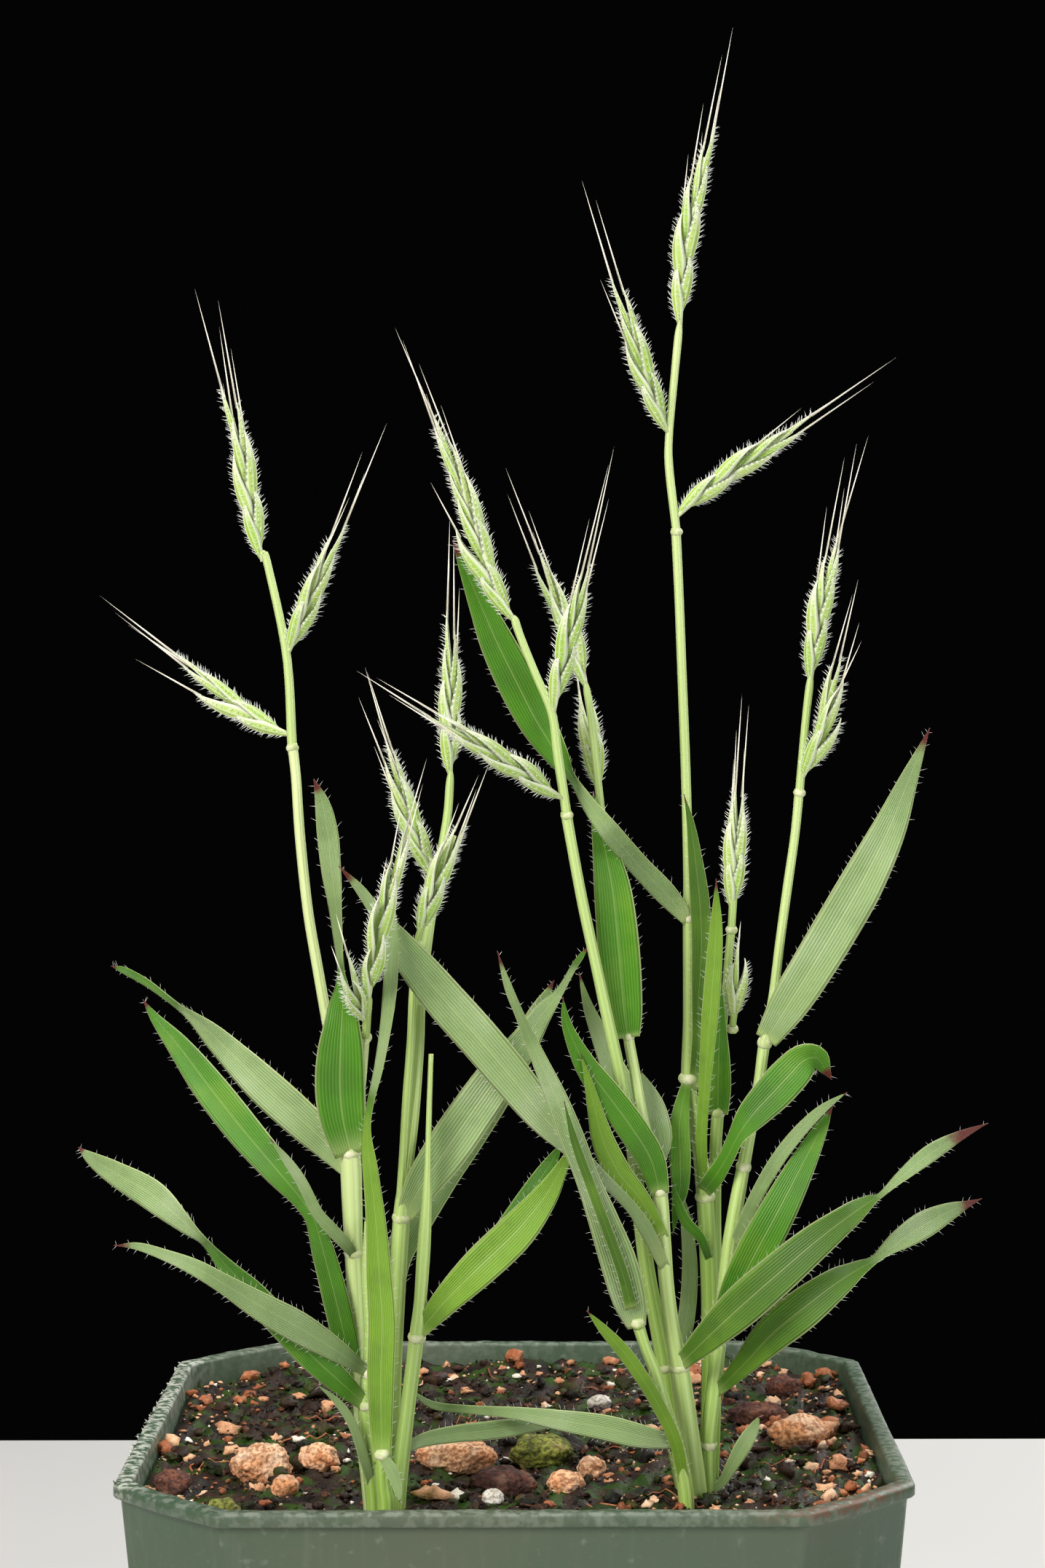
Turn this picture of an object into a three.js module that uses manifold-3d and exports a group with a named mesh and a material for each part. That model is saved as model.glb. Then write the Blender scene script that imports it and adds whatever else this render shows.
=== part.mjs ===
// Potted false brome: two tufts of leafy grass stems with awned flower heads,
// standing in a square plastic pot filled with peat, bark, clay and perlite.
// Millimetres, +Z up, origin at the middle of the pot's underside.
import * as THREE from 'three';
import { mergeVertices } from 'three/addons/utils/BufferGeometryUtils.js';
import Module from 'manifold-3d';

const wasm = await Module();
wasm.setup();

// Driving dimensions of the pot
const POT = {
  width: 101.6,
  height: 90,
  corner: 14.5,
  cornerBow: 0.7,
  taper: 0.09,
  wall: 1.6,
  floor: 2,
  lipHeight: 2,
  lipReach: 0.7,
  lipEase: 0.3,
  rimEase: 0.4,
  drainRadius: 4.5,
  drainReach: 26,
  drainSides: 16,
};

// Driving dimensions of the soil. Its top rolls in long waves, is rough with
// grit and climbs towards the walls. Its rings stand closer towards the rim.
const SOIL = {
  depth: 3.4,
  clearance: 0.35,
  rings: 8,
  spokes: 24,
  ringSpread: 0.75,
  relief: 1.5,
  roll: 0.36,
  shortRoll: 0.216,
  grit: 0.32,
  shore: 0.8,
  climb: 6.5,
  climbGrit: 0.4,
  stemRoom: 0.6,
  stemRoot: 5,
};

// Driving shares of the loose lumps: how far they rise out of the soil, how
// uneven they are, and the half width past which one has more faces
const LUMP = {
  rise: 0.45,
  least: 0.86,
  spread: 0.26,
  fineFrom: 4.3,
};

// Driving dimensions of the grass
const GRASS = {
  bladeThickness: 0.7,
  stemSides: 6,
  stepLength: 6.6,
  bladeLeastSteps: 5,
  collarRise: 0.48,
  collarTaper: 0.8,
  rootTaper: 0.8,
};

// Driving dimensions of the flower heads
const HEAD = {
  stalkSides: 4,
  coreThickness: 1.1,
  coreStep: 7,
  firstScale: 0.02,
  leastSpan: 0.3,
  lemmaLength: 9.5,
  lemmaWidth: 1.7,
  lemmaThickness: 1.3,
  footLean: 0.1,
  bellyLean: 1.05,
  tipLean: 1.1,
  footSwell: 0.5,
  awnThickness: 0.55,
  awnLean: 0.06,
  lowestAwn: 0.35,
};

// The plant's places are read in its front view, on the upright plane through
// the pot's middle, from a standpoint in front of the pot. A place with a depth
// lies on the line of sight through its spot on that plane.
const STANDPOINT = new THREE.Vector3(4.3, -428.5, 190);

function seen(across, up, depth) {
  const spot = new THREE.Vector3(across, 0, up);
  const reach = (depth - STANDPOINT.y) / -STANDPOINT.y;
  return spot.sub(STANDPOINT).multiplyScalar(reach).add(STANDPOINT);
}

// A seeded random draw, so that every build gives the same plant
function seeded(seed) {
  let state = seed;
  return () => {
    state = (state * 1664525 + 1013904223) % 4294967296;
    return state / 4294967296;
  };
}

// Closed bodies

function toGeometry(vertices, faces) {
  const geometry = new THREE.BufferGeometry();
  geometry.setAttribute('position', new THREE.Float32BufferAttribute(vertices, 3));
  geometry.setIndex(faces);
  return geometry;
}

function toSolid(geometry) {
  const bare = geometry.clone();
  bare.deleteAttribute('normal');
  bare.deleteAttribute('uv');
  const merged = mergeVertices(bare, 1e-4);
  const mesh = new wasm.Mesh({
    numProp: 3,
    vertProperties: new Float32Array(merged.attributes.position.array),
    triVerts: new Uint32Array(merged.index.array),
  });
  return new wasm.Manifold(mesh);
}

// The largest body is kept, so that a loose sliver of a join is dropped
function fromSolid(solid) {
  const bodies = solid.decompose().sort((a, b) => b.volume() - a.volume());
  const mesh = bodies[0].getMesh();
  return toGeometry(Array.from(mesh.vertProperties), Array.from(mesh.triVerts));
}

function joinAll(solids) {
  return solids.reduce((whole, next) => whole.add(next));
}

// Rings of equal length are bridged into one closed skin. A ring may be a
// single point, which closes that end.
function bridge(rings) {
  const vertices = [];
  const starts = [];
  for (const ring of rings) {
    starts.push(vertices.length / 3);
    for (const point of ring) vertices.push(point.x, point.y, point.z);
  }
  const faces = [];
  for (let i = 0; i + 1 < rings.length; i += 1) {
    const low = rings[i].length;
    const high = rings[i + 1].length;
    const sides = Math.max(low, high);
    for (let k = 0; k < sides; k += 1) {
      const a = starts[i] + (k % low);
      const b = starts[i] + ((k + 1) % low);
      const c = starts[i + 1] + ((k + 1) % high);
      const d = starts[i + 1] + (k % high);
      if (low > 1) faces.push(a, b, c);
      if (high > 1) faces.push(a, c, d);
    }
  }
  const first = rings[0].length;
  for (let k = 1; k + 1 < first; k += 1) faces.push(starts[0], starts[0] + k + 1, starts[0] + k);
  const end = starts[rings.length - 1];
  const last = rings[rings.length - 1].length;
  for (let k = 1; k + 1 < last; k += 1) faces.push(end, end + k, end + k + 1);
  return toGeometry(vertices, faces);
}

// Rows of numbers are read between their entries along a smooth curve
function smooth(rows, t, column) {
  const last = rows.length - 1;
  const place = Math.min(Math.max(t, 0), 1) * last;
  const i = Math.min(Math.floor(place), last - 1);
  const f = place - i;
  const value = (n) => rows[Math.min(Math.max(n, 0), last)][column] ?? 0;
  const [a, b, c, d] = [value(i - 1), value(i), value(i + 1), value(i + 2)];
  const bend = (c - a) * f + (2 * a - 5 * b + 4 * c - d) * f * f + (3 * b - 3 * c + d - a) * f * f * f;
  return b + bend / 2;
}

function pathOf(rows) {
  return (t) => seen(smooth(rows, t, 0), smooth(rows, t, 1), smooth(rows, t, 2));
}

function directionOf(path, t) {
  const reach = 0.01;
  return path(Math.min(t + reach, 1)).sub(path(Math.max(t - reach, 0))).normalize();
}

function lengthOf(path) {
  const steps = 24;
  let length = 0;
  for (let i = 0; i < steps; i += 1) length += path(i / steps).distanceTo(path((i + 1) / steps));
  return length;
}

// Faces are turned round where a skin was bridged inside out
function facingOut(geometry) {
  const place = geometry.attributes.position;
  const index = geometry.index.array;
  const corner = (k) => new THREE.Vector3().fromBufferAttribute(place, index[k]);
  let volume = 0;
  for (let k = 0; k < index.length; k += 3) {
    volume += corner(k).dot(corner(k + 1).cross(corner(k + 2)));
  }
  if (volume > 0) return geometry;
  const turned = [];
  for (let k = 0; k < index.length; k += 3) turned.push(index[k], index[k + 2], index[k + 1]);
  geometry.setIndex(turned);
  return geometry;
}

function frameAt(path, t) {
  const along = directionOf(path, t);
  const sight = path(t).sub(STANDPOINT).normalize();
  const side = new THREE.Vector3().crossVectors(along, sight).normalize();
  const face = new THREE.Vector3().crossVectors(side, along).normalize();
  return { along, side, face };
}

// A grass blade: rows are across, up, depth, width and turn about its length
// in degrees. Its section is a flat lozenge, so both faces split alike.
function blade(rows) {
  const path = pathOf(rows);
  const steps = Math.max(GRASS.bladeLeastSteps, Math.round(lengthOf(path) / GRASS.stepLength));
  const rings = [];
  for (let i = 0; i < steps; i += 1) {
    const t = i / steps;
    const { side, face } = frameAt(path, t);
    const turn = THREE.MathUtils.degToRad(smooth(rows, t, 4));
    const wide = side.clone().multiplyScalar(Math.cos(turn)).addScaledVector(face, Math.sin(turn));
    const deep = face.clone().multiplyScalar(Math.cos(turn)).addScaledVector(side, -Math.sin(turn));
    const half = Math.max(smooth(rows, t, 3), GRASS.bladeThickness) / 2;
    const thick = GRASS.bladeThickness / 2;
    const centre = path(t);
    rings.push([
      centre.clone().addScaledVector(wide, half),
      centre.clone().addScaledVector(deep, thick),
      centre.clone().addScaledVector(wide, -half),
      centre.clone().addScaledVector(deep, -thick),
    ]);
  }
  rings.push([path(1)]);
  return toSolid(facingOut(bridge(rings)));
}

// A round stem: rows are across, up, depth and thickness
function rod(rows, sides, stepLength) {
  const path = pathOf(rows);
  const steps = Math.max(3, Math.round(lengthOf(path) / stepLength));
  const rings = [];
  for (let i = 0; i <= steps; i += 1) {
    const t = i / steps;
    const { side, face } = frameAt(path, t);
    const radius = smooth(rows, t, 3) / 2;
    const ring = [];
    for (let k = 0; k < sides; k += 1) {
      const angle = (2 * Math.PI * k) / sides;
      ring.push(path(t)
        .addScaledVector(side, Math.cos(angle) * radius)
        .addScaledVector(face, Math.sin(angle) * radius));
    }
    rings.push(ring);
  }
  return toSolid(facingOut(bridge(rings)));
}

// A collar is the swollen ring where a leaf leaves its sheath
function collar(rows, t, thickness) {
  const path = pathOf(rows);
  const { along, side, face } = frameAt(path, t);
  const shape = [[-1, GRASS.collarTaper], [0, 1], [1, GRASS.collarTaper]];
  const rings = shape.map(([level, swell]) => {
    const ring = [];
    for (let k = 0; k < GRASS.stemSides; k += 1) {
      const angle = (2 * Math.PI * (k + 0.5)) / GRASS.stemSides;
      ring.push(path(t)
        .addScaledVector(along, level * GRASS.collarRise)
        .addScaledVector(side, (Math.cos(angle) * swell * thickness) / 2)
        .addScaledVector(face, (Math.sin(angle) * swell * thickness) / 2));
    }
    return ring;
  });
  return toSolid(facingOut(bridge(rings)));
}

// A scale of the flower head: a keeled, pointed boat with a stiff awn at its tip
function lemma(root, along, out, length, awn) {
  const cross = new THREE.Vector3().crossVectors(along, out).normalize();
  const width = HEAD.lemmaWidth / 2;
  const depth = HEAD.lemmaThickness / 2;
  const needle = HEAD.awnThickness / 2;
  const shape = [
    [0, HEAD.footLean, HEAD.footSwell],
    [0.5, HEAD.bellyLean, 1],
  ];
  const section = (centre, wide, deep) => [
    centre.clone().addScaledVector(cross, wide).addScaledVector(out, -deep / 2),
    centre.clone().addScaledVector(out, deep),
    centre.clone().addScaledVector(cross, -wide).addScaledVector(out, -deep / 2),
  ];
  const rings = shape.map(([share, lean, swell]) => {
    const centre = root.clone().addScaledVector(along, length * share).addScaledVector(out, lean);
    return section(centre, width * swell, depth * swell);
  });
  const tip = root.clone().addScaledVector(along, length).addScaledVector(out, HEAD.tipLean);
  if (awn > 0) {
    rings.push(section(tip, needle, needle));
    rings.push([tip.clone().addScaledVector(along, awn).addScaledVector(out, awn * HEAD.awnLean)]);
  } else {
    rings.push([tip]);
  }
  return toSolid(facingOut(bridge(rings)));
}

// A spikelet: scales in two ranks on a slim core, overlapping from its foot up
function spikelet({ rows, scales, awn, turn = 0 }) {
  const path = pathOf(rows);
  const length = lengthOf(path);
  const core = rows.map(([across, up, depth]) => [across, up, depth, HEAD.coreThickness]);
  const pieces = [rod(core, HEAD.stalkSides, HEAD.coreStep)];
  const span = Math.max(1 - HEAD.lemmaLength / length, HEAD.leastSpan);
  for (let i = 0; i < scales; i += 1) {
    const t = (i / scales) * span + HEAD.firstScale;
    const { along, side, face } = frameAt(path, t);
    const angle = THREE.MathUtils.degToRad(turn) + (i % 2) * Math.PI;
    const out = side.multiplyScalar(Math.cos(angle)).addScaledVector(face, Math.sin(angle));
    const reach = awn * (HEAD.lowestAwn + ((1 - HEAD.lowestAwn) * (i + 1)) / scales);
    pieces.push(lemma(path(t), along, out, HEAD.lemmaLength, reach));
  }
  return joinAll(pieces);
}

// Leafy stems. Rods: across, up, depth, thickness. Blades: across, up, depth,
// width, turn. The first rod is the one that stands in the soil.
const STEMS = {
  left_front_stem: {
    colour: 0x9cc455,
    rods: [[[-18, 77.5, -43, 2.2], [-18.3, 80.5, -43, 2], [-18.5, 85, -43, 1.9]]],
    collars: [[0, 1, 2.6]],
    blades: [
      [[-18.5, 83.5, -43.4, 2.2], [-18.6, 89, -43.8, 2.9], [-18.6, 96, -43.5, 3.4], [-18.4, 103, -43, 3.4],
        [-18.8, 110, -42.5, 3.1], [-19.2, 117, -42, 2.5], [-19.8, 123, -41.5, 2], [-20.3, 129, -41, 1.8, 50],
        [-19.8, 133, -41, 1.6, 60], [-18.6, 138, -40.5, 1.6, 45], [-17.6, 144, -40, 1.7, 30],
        [-17, 150, -39.5, 1.8, 10], [-16.8, 156, -39, 1.6], [-17.1, 161, -38.5, 1.1], [-17.4, 166, -38, 0]],
      [[-18.3, 84.2, -43.8, 1.2], [-17.4, 82.9, -45, 1.5], [-16.6, 81, -46, 1.4], [-16.2, 79.2, -46.8, 0.9],
        [-16.1, 78.2, -47.2, 0]],
    ],
  },
  left_low_stem: {
    colour: 0x8fb950,
    rods: [[[-19.6, 78, -40, 2], [-20.2, 84, -40, 2], [-20.7, 91.5, -39.5, 1.9], [-20.4, 96, -39.2, 1.6],
      [-20.1, 101, -38.8, 1.4], [-20.3, 105.5, -38.5, 1.3], [-20.5, 110, -38.2, 1.2], [-20.3, 117, -37.9, 0.8]]],
    collars: [[0, 0.29, 2.5], [0, 0.43, 2.1]],
    blades: [
      [[-20.6, 91.5, -39.9, 1.6], [-24, 94.6, -41.5, 3], [-28, 98.3, -43, 3.6], [-32, 102.5, -44.5, 3.4],
        [-36, 106.8, -46, 3.2], [-39.5, 110.6, -47, 2.4, 30], [-42.6, 114.3, -47, 2, 62],
        [-45.3, 116.7, -46, 2.6, 35], [-50, 120.7, -43, 3.7], [-55, 123.7, -39, 2.9],
        [-58.3, 125.8, -36, 1.5], [-60, 127.3, -35, 0]],
      [[-20.3, 96, -39.6, 1.2], [-25, 99.3, -42.6, 2.8], [-30, 102.4, -45.8, 3.8], [-35, 105.2, -48.5, 3.4],
        [-40, 108.3, -50, 2.4], [-44, 110.6, -50, 2], [-48, 112.3, -49, 1.4], [-52, 113.6, -47.5, 0.9],
        [-55.2, 113.7, -46.5, 0]],
      [[-19.8, 80, -40.6, 1], [-20.9, 84, -41.5, 1.3], [-22.4, 88.6, -42.3, 1.2], [-24.6, 92, -43, 0.9],
        [-27.5, 94.5, -44, 0]],
    ],
  },
  left_tall_stem: {
    colour: 0x93b868,
    rods: [
      [[-19.8, 78, -35.8, 2.4], [-20.8, 88, -35.6, 2.4], [-21.5, 97, -35.4, 2.4], [-21.9, 106, -35.2, 2.3],
        [-22.2, 112.5, -35, 2.3], [-22.4, 120, -34.8, 2.6], [-22.7, 126.6, -34.5, 2.6], [-24, 136, -34, 1.6],
        [-25.6, 144, -33.5, 1.4], [-27, 152, -33, 1.35], [-28.3, 160, -32.5, 1.3], [-29.3, 170, -32, 1.3],
        [-29.8, 178, -31.5, 1.25], [-30.3, 182.6, -31.4, 1.3]],
      [[-22.2, 125.5, -34.6, 1.8], [-21.4, 133, -34.9, 1.3], [-20.9, 138, -35.2, 1.2], [-20.5, 142.2, -35.6, 1.1]],
    ],
    collars: [[0, 0.46, 3.2], [0, 0.31, 2.8]],
    blades: [
      [[-22.5, 126.2, -35.6, 4.2], [-23.6, 131, -36.8, 5.8], [-24, 135.5, -37, 6.3], [-23.9, 140.5, -37, 5.8],
        [-23.7, 145, -36.8, 4.2], [-23.5, 149, -36.6, 3, 50], [-23.7, 152, -36.5, 2.4, 72],
        [-24, 156, -36.4, 2.2, 58], [-24.5, 161, -36, 2.2, 35], [-25.1, 165.5, -35.6, 2.5],
        [-25.5, 170, -35, 2.7], [-26.2, 174.3, -34.5, 1.9], [-27.4, 177.8, -34, 0]],
      [[-22.8, 124, -34, 2.2], [-26, 127.8, -32.5, 4], [-30, 131.6, -31, 4.8], [-35, 136.2, -28, 4.7],
        [-40, 141.2, -24, 3.4], [-43.6, 144.7, -21, 2.4, 45], [-46.3, 146.9, -19, 1.8, 65],
        [-50, 149.7, -16.5, 1.7, 55], [-53, 151.4, -15, 1.3, 40], [-55.3, 152.2, -14, 0]],
      [[-21.6, 93.8, -36, 1.8], [-23.2, 99.5, -36.8, 3], [-24.6, 105.5, -37, 3.3], [-26.1, 111.5, -37, 3],
        [-27.6, 117, -37, 2.6, 40], [-29.3, 119.9, -36, 2.4, 20], [-33, 124.4, -34, 3.8],
        [-37.5, 129.8, -31, 4.5], [-42, 135.6, -27.5, 4.3], [-46, 141, -24, 3], [-49.3, 145, -21.5, 1.3],
        [-51, 147.6, -20, 0]],
      [[-22, 112, -35.6, 1], [-23.5, 114, -37.4, 1.5], [-25.4, 116, -38.2, 1.6], [-27.3, 118.3, -38.6, 1.4],
        [-29.3, 122.3, -39, 1.4], [-31.3, 125.3, -39.3, 1.1], [-33.7, 128.5, -39.6, 0]],
    ],
  },
  left_middle_stem: {
    colour: 0x9db77c,
    rods: [
      [[-17.4, 78, -32, 2.2], [-17.2, 88, -32, 2.3], [-16.8, 98, -31.8, 2.2], [-16.2, 108, -31.6, 2.1],
        [-15.6, 117.5, -31.4, 2.2], [-14.9, 124, -31.2, 1.6], [-14, 131, -31, 1.5], [-13.2, 141, -30.6, 1.45],
        [-12.9, 148, -30.3, 1.4], [-11.9, 156, -30, 1.4], [-10.9, 162.6, -29.7, 1.3]],
      [[-15.8, 117, -31.4, 1.5], [-15.3, 126, -31.6, 1.2], [-14.8, 134, -31.8, 1.2], [-14.2, 142, -32, 1.1],
        [-13.9, 149, -32.2, 1], [-13.1, 155.3, -32.4, 1]],
    ],
    collars: [[0, 0.4, 2.8]],
    blades: [
      [[-15.3, 117.5, -31.9, 2.2], [-12.8, 122, -33, 4.4], [-9.3, 127, -33, 5.6], [-5.7, 132.2, -32.5, 5.6],
        [-2.4, 136.8, -32, 5.2], [0.9, 141, -31.5, 4], [3.6, 145.2, -31, 2.6], [6.2, 148.4, -30.5, 1.8, 50],
        [8.3, 152.1, -30, 1.4, 55], [10.2, 154.8, -29.5, 0]],
      [[-16.3, 107, -31.2, 1.6], [-16, 112.5, -29.8, 3.6], [-13, 118, -29.4, 4], [-9.6, 123.6, -29.2, 4],
        [-6, 129, -29, 4], [-2, 135.5, -29, 4], [1, 141, -29, 3.4], [3.3, 146, -29, 2.2], [5.4, 150.1, -29, 0]],
    ],
  },
  left_side_stem: {
    colour: 0x94ba5e,
    rods: [[[-16.3, 78, -36.6, 2], [-15.8, 84, -36.2, 2.1], [-14.8, 92, -35.8, 1.9], [-13.6, 101.2, -35.6, 1.9],
      [-13.1, 106, -35.6, 1.6], [-12.6, 113, -35.6, 1.7], [-12.2, 119.5, -35.8, 1.3], [-12, 125, -36, 0.8],
      [-11.8, 132, -36, 0.7], [-11.5, 140, -36, 0.6]]],
    collars: [[0, 0.33, 2.5]],
    blades: [
      [[-13.4, 101.4, -36, 1.6], [-10, 105.6, -36.5, 3.4], [-5, 110.6, -37, 4.8], [0, 115.4, -36, 4.8],
        [3.8, 120, -34.5, 3.4], [6, 123.6, -33, 1.9], [7.6, 126.8, -32, 0.7], [8.6, 128.4, -31.5, 0]],
      [[-13.2, 101.4, -35.2, 1], [-8, 106.8, -32.5, 2.6], [-2.3, 114.6, -30, 2.6], [1.5, 120, -28.5, 2.6],
        [4.5, 124.4, -27.5, 2], [6.4, 127.8, -27, 0]],
      [[-15.8, 85.3, -36.4, 1], [-12.5, 86.8, -35.2, 1.8], [-8, 87.6, -33.5, 2.2], [-3, 88.1, -31, 2.4],
        [1.5, 88.7, -29, 2], [5, 88.8, -27.5, 0.9], [7, 88.2, -27, 0]],
    ],
  },
  right_front_stem: {
    colour: 0xa3bd7c,
    rods: [[[23.4, 78.5, -33.6, 2], [22.4, 84.5, -33.7, 1.9], [20.8, 90, -33.8, 1.8], [19.3, 95.5, -34, 1.6],
      [17.8, 99.5, -34.2, 1.4], [16.7, 103, -34.4, 1.6]]],
    collars: [[0, 1, 2.2]],
    blades: [
      [[16.6, 102.3, -34.6, 2.4], [15.6, 106, -35.6, 4.2], [14.1, 111.3, -36.8, 4.6], [12, 117.2, -38, 3.8],
        [9.8, 123, -38.5, 3], [7.7, 128.6, -38.8, 3.1], [5.6, 134, -39, 2.7], [3.4, 139, -39, 2],
        [0.8, 145, -39, 1.2], [-0.9, 149.2, -39, 1], [-2.4, 154.2, -39, 0]],
      [[15.9, 104.8, -35.8, 1.6], [14.7, 109.6, -37.6, 1.4], [12.6, 115.6, -39, 1.3], [10.1, 122.4, -40, 1.2],
        [8.1, 128, -40.4, 1], [6.7, 133.5, -40.6, 0]],
      [[23, 81, -34.2, 1.4], [22, 86, -35.2, 1.6], [20.3, 90, -36, 1.7], [18, 94.2, -37, 1.8],
        [15, 98.6, -38.2, 1.8], [12, 102, -39.3, 1.2], [9.7, 104.6, -40, 0]],
      [[21.9, 86.3, -34, 1.6], [17, 87.2, -36, 3], [12, 88.4, -36, 3.2], [6, 89.4, -35, 2.6],
        [0, 90.4, -33, 1.6], [-6, 90.9, -30.5, 1.1], [-11.6, 91.6, -28, 1], [-15, 94.2, -26, 0]],
    ],
  },
  right_broad_stem: {
    colour: 0x86b04a,
    rods: [[[24.8, 78.8, -29.5, 2.8], [23.7, 88, -29.6, 2.7], [22.5, 96.6, -29.8, 2.5], [21.6, 101.5, -29.9, 2],
      [20.8, 107.5, -30, 1.9], [20.3, 114, -30, 2], [19.8, 121, -30, 2], [18.7, 125.5, -30, 1.8],
      [17.5, 131, -29.8, 1.5], [16.5, 137, -29.4, 1.4], [15.5, 142.6, -29, 1.35], [14.5, 150, -28.2, 1.1],
      [13.3, 160, -27.6, 1], [12.3, 168, -27.1, 1], [11.9, 173, -26.8, 1]]],
    collars: [[0, 0.145, 3], [0, 0.43, 2.5], [0, 0.715, 1.9]],
    blades: [
      [[15.5, 142.2, -29.7, 3], [15, 146, -30.4, 4.6], [14.3, 154, -30.6, 5.3], [13.5, 162, -30.2, 4.8],
        [12.4, 168, -28.8, 3.2], [11.4, 172.3, -28.4, 1.6], [10.8, 176, -28.2, 0]],
      [[19.8, 120.6, -30.8, 2.4], [18.6, 125.4, -32.2, 3.6], [15.8, 130, -33.2, 3.9], [12.6, 134.4, -34, 3.6],
        [9.8, 138.2, -34.6, 2.9], [7.7, 142.4, -35, 1.7], [6.9, 145, -35, 1], [6.6, 147.8, -35, 0]],
      [[20.3, 114.5, -30.8, 1.6], [17.4, 119.6, -32.6, 2.4], [14.3, 123.4, -33.6, 3.2], [12.2, 127.6, -34.2, 3],
        [11, 132, -34.6, 2], [10, 136.4, -35, 1], [9, 140, -35.2, 0]],
      [[20.4, 110.6, -30.8, 1.4], [18, 115.6, -33, 1.8], [15.8, 118.9, -34.4, 1.5], [12.6, 122.2, -35.8, 1.6],
        [10.4, 124.4, -36.4, 1.8], [7.4, 127.4, -36.8, 2.6], [3.8, 131.4, -37, 4.2], [-0.5, 136.8, -37, 5.1],
        [-5, 142.2, -36.8, 5.3], [-9.5, 147.3, -36.6, 5.2], [-13.2, 151.8, -36.8, 4.6],
        [-16.4, 156, -37.2, 3.2], [-18.6, 159, -37.8, 1.8], [-21.2, 162.7, -38.3, 1.2], [-24.1, 165.9, -38.5, 0]],
      [[22.4, 97, -30.6, 1.8], [26.5, 101, -33, 3.8], [31, 105.2, -34.5, 5.2], [36, 109.6, -35.5, 5.1],
        [41, 113.9, -35.5, 4.4], [45.4, 117.3, -34.5, 3.2], [48.6, 119.5, -33.5, 2.2, 45],
        [50.2, 120.4, -33, 1.8, 68], [53.2, 123.1, -31.5, 2, 40], [57, 126.2, -29.5, 2.2, 10],
        [60.8, 128.5, -27.5, 1.3], [64.8, 130.3, -26, 0]],
      [[18.9, 124.4, -29.7, 1.6], [17.9, 128, -26.2, 2.4], [16.2, 131.5, -26.2, 3.4], [14.8, 135, -25.8, 3.6],
        [13.2, 138.6, -25.6, 3], [11.6, 142.6, -25.6, 2.3], [10, 146.6, -25.6, 1.3], [8.8, 151.2, -25.6, 0]],
      [[19, 124, -29.6, 1.6], [19.9, 128, -27.6, 3], [19.2, 132, -26.6, 3], [18.2, 135, -26.2, 1.8],
        [17.2, 137.6, -26, 0]],
    ],
  },
  right_arching_stem: {
    colour: 0xa2b878,
    rods: [[[23.4, 78.5, -25.6, 2.4], [21.9, 87, -25.8, 2.4], [20.6, 96.8, -26, 2.4], [19.4, 103, -26.2, 2.1],
      [18.1, 110, -26.6, 2], [17.1, 118, -27.4, 1.9], [16.3, 126, -28.6, 1.8], [15.3, 132, -30, 1.7],
      [14.2, 138, -31.4, 1.6], [12.7, 145, -32.4, 1.5], [11, 153, -33, 1.4], [9.4, 160.5, -33.5, 1.4],
      [8, 168, -33.8, 1.35], [7.1, 173.2, -34, 1.4]]],
    collars: [[0, 0.155, 3]],
    blades: [
      [[20.9, 97, -25.4, 1.6], [22.6, 100, -21.6, 2.2], [23.6, 105, -18.6, 2.2], [23.9, 111, -17.6, 2],
        [23.4, 117, -17.4, 1.4], [22.8, 121, -17.4, 0]],
    ],
  },
  right_tallest_stem: {
    colour: 0x98bd62,
    rods: [[[26.2, 79, -23.4, 2], [26.4, 88, -23.2, 2], [26.6, 98, -23, 2.1], [26.6, 108, -22.8, 2.2],
      [26, 120.4, -22.6, 2.2], [25.2, 127, -22.4, 1.8], [24.4, 132, -22.2, 1.8], [23.8, 136.6, -22, 1.9],
      [23.9, 145, -21.6, 1.6], [23.9, 158.4, -21, 1.6], [23.8, 165, -20.6, 1.3], [23.5, 178, -20, 1.25],
      [23, 192, -19, 1.2], [22.6, 203, -18.4, 1.2], [22.2, 211.8, -18, 1.25]]],
    collars: [[0, 0.5, 3], [0, 0.285, 2.9], [0, 0.645, 2.1]],
    blades: [
      [[23.8, 158.2, -21.6, 1.6], [20.8, 161.8, -23.4, 2.9], [17, 165.8, -26, 2.8], [13.2, 170.3, -32.8, 2.6],
        [10.4, 174, -32.4, 2.2, 30], [8.2, 177.7, -31.2, 2.2, 62], [6.2, 180.6, -31, 3.2, 25],
        [3.2, 185.4, -31, 4.6], [0.4, 190.9, -31, 5], [-2.2, 196.2, -31.4, 4.4], [-4.2, 200.8, -32, 3.2],
        [-6.4, 206, -32.6, 1.7], [-8.3, 210.3, -33, 0]],
      [[24.4, 135, -22.8, 1.2], [25.2, 142, -22.9, 1.8], [25.1, 146.6, -22.6, 1.6], [25.4, 151, -22.4, 2.2],
        [25.6, 156, -22.2, 2.6], [25.3, 161.5, -22.1, 2.5], [24.7, 167, -22, 1.8], [24.1, 171.6, -22, 1],
        [23.2, 175.6, -21.8, 0]],
      [[23.6, 136.2, -22.8, 1.2], [22.6, 131, -24.4, 2.4], [22.6, 126, -25.4, 2.8], [22.6, 121.5, -25.8, 2.2],
        [22, 118, -26, 1], [21.6, 115, -26, 0]],
      [[26.6, 111.4, -23.4, 0.9], [25.4, 114.6, -26, 1.2], [23.4, 116.8, -27.2, 1.4], [22.3, 119.4, -27.8, 1],
        [21.6, 122.2, -28, 0]],
      [[25.8, 121, -23.4, 2], [27.2, 122.8, -26.2, 2.4], [29, 125.6, -27.6, 2.2, 20], [30.4, 128.4, -28, 2.6, 30],
        [32.6, 131.6, -28, 4], [35.4, 134.6, -28, 4.9], [37.8, 137.2, -28, 4.9], [39.6, 139, -27.6, 4.2],
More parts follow.
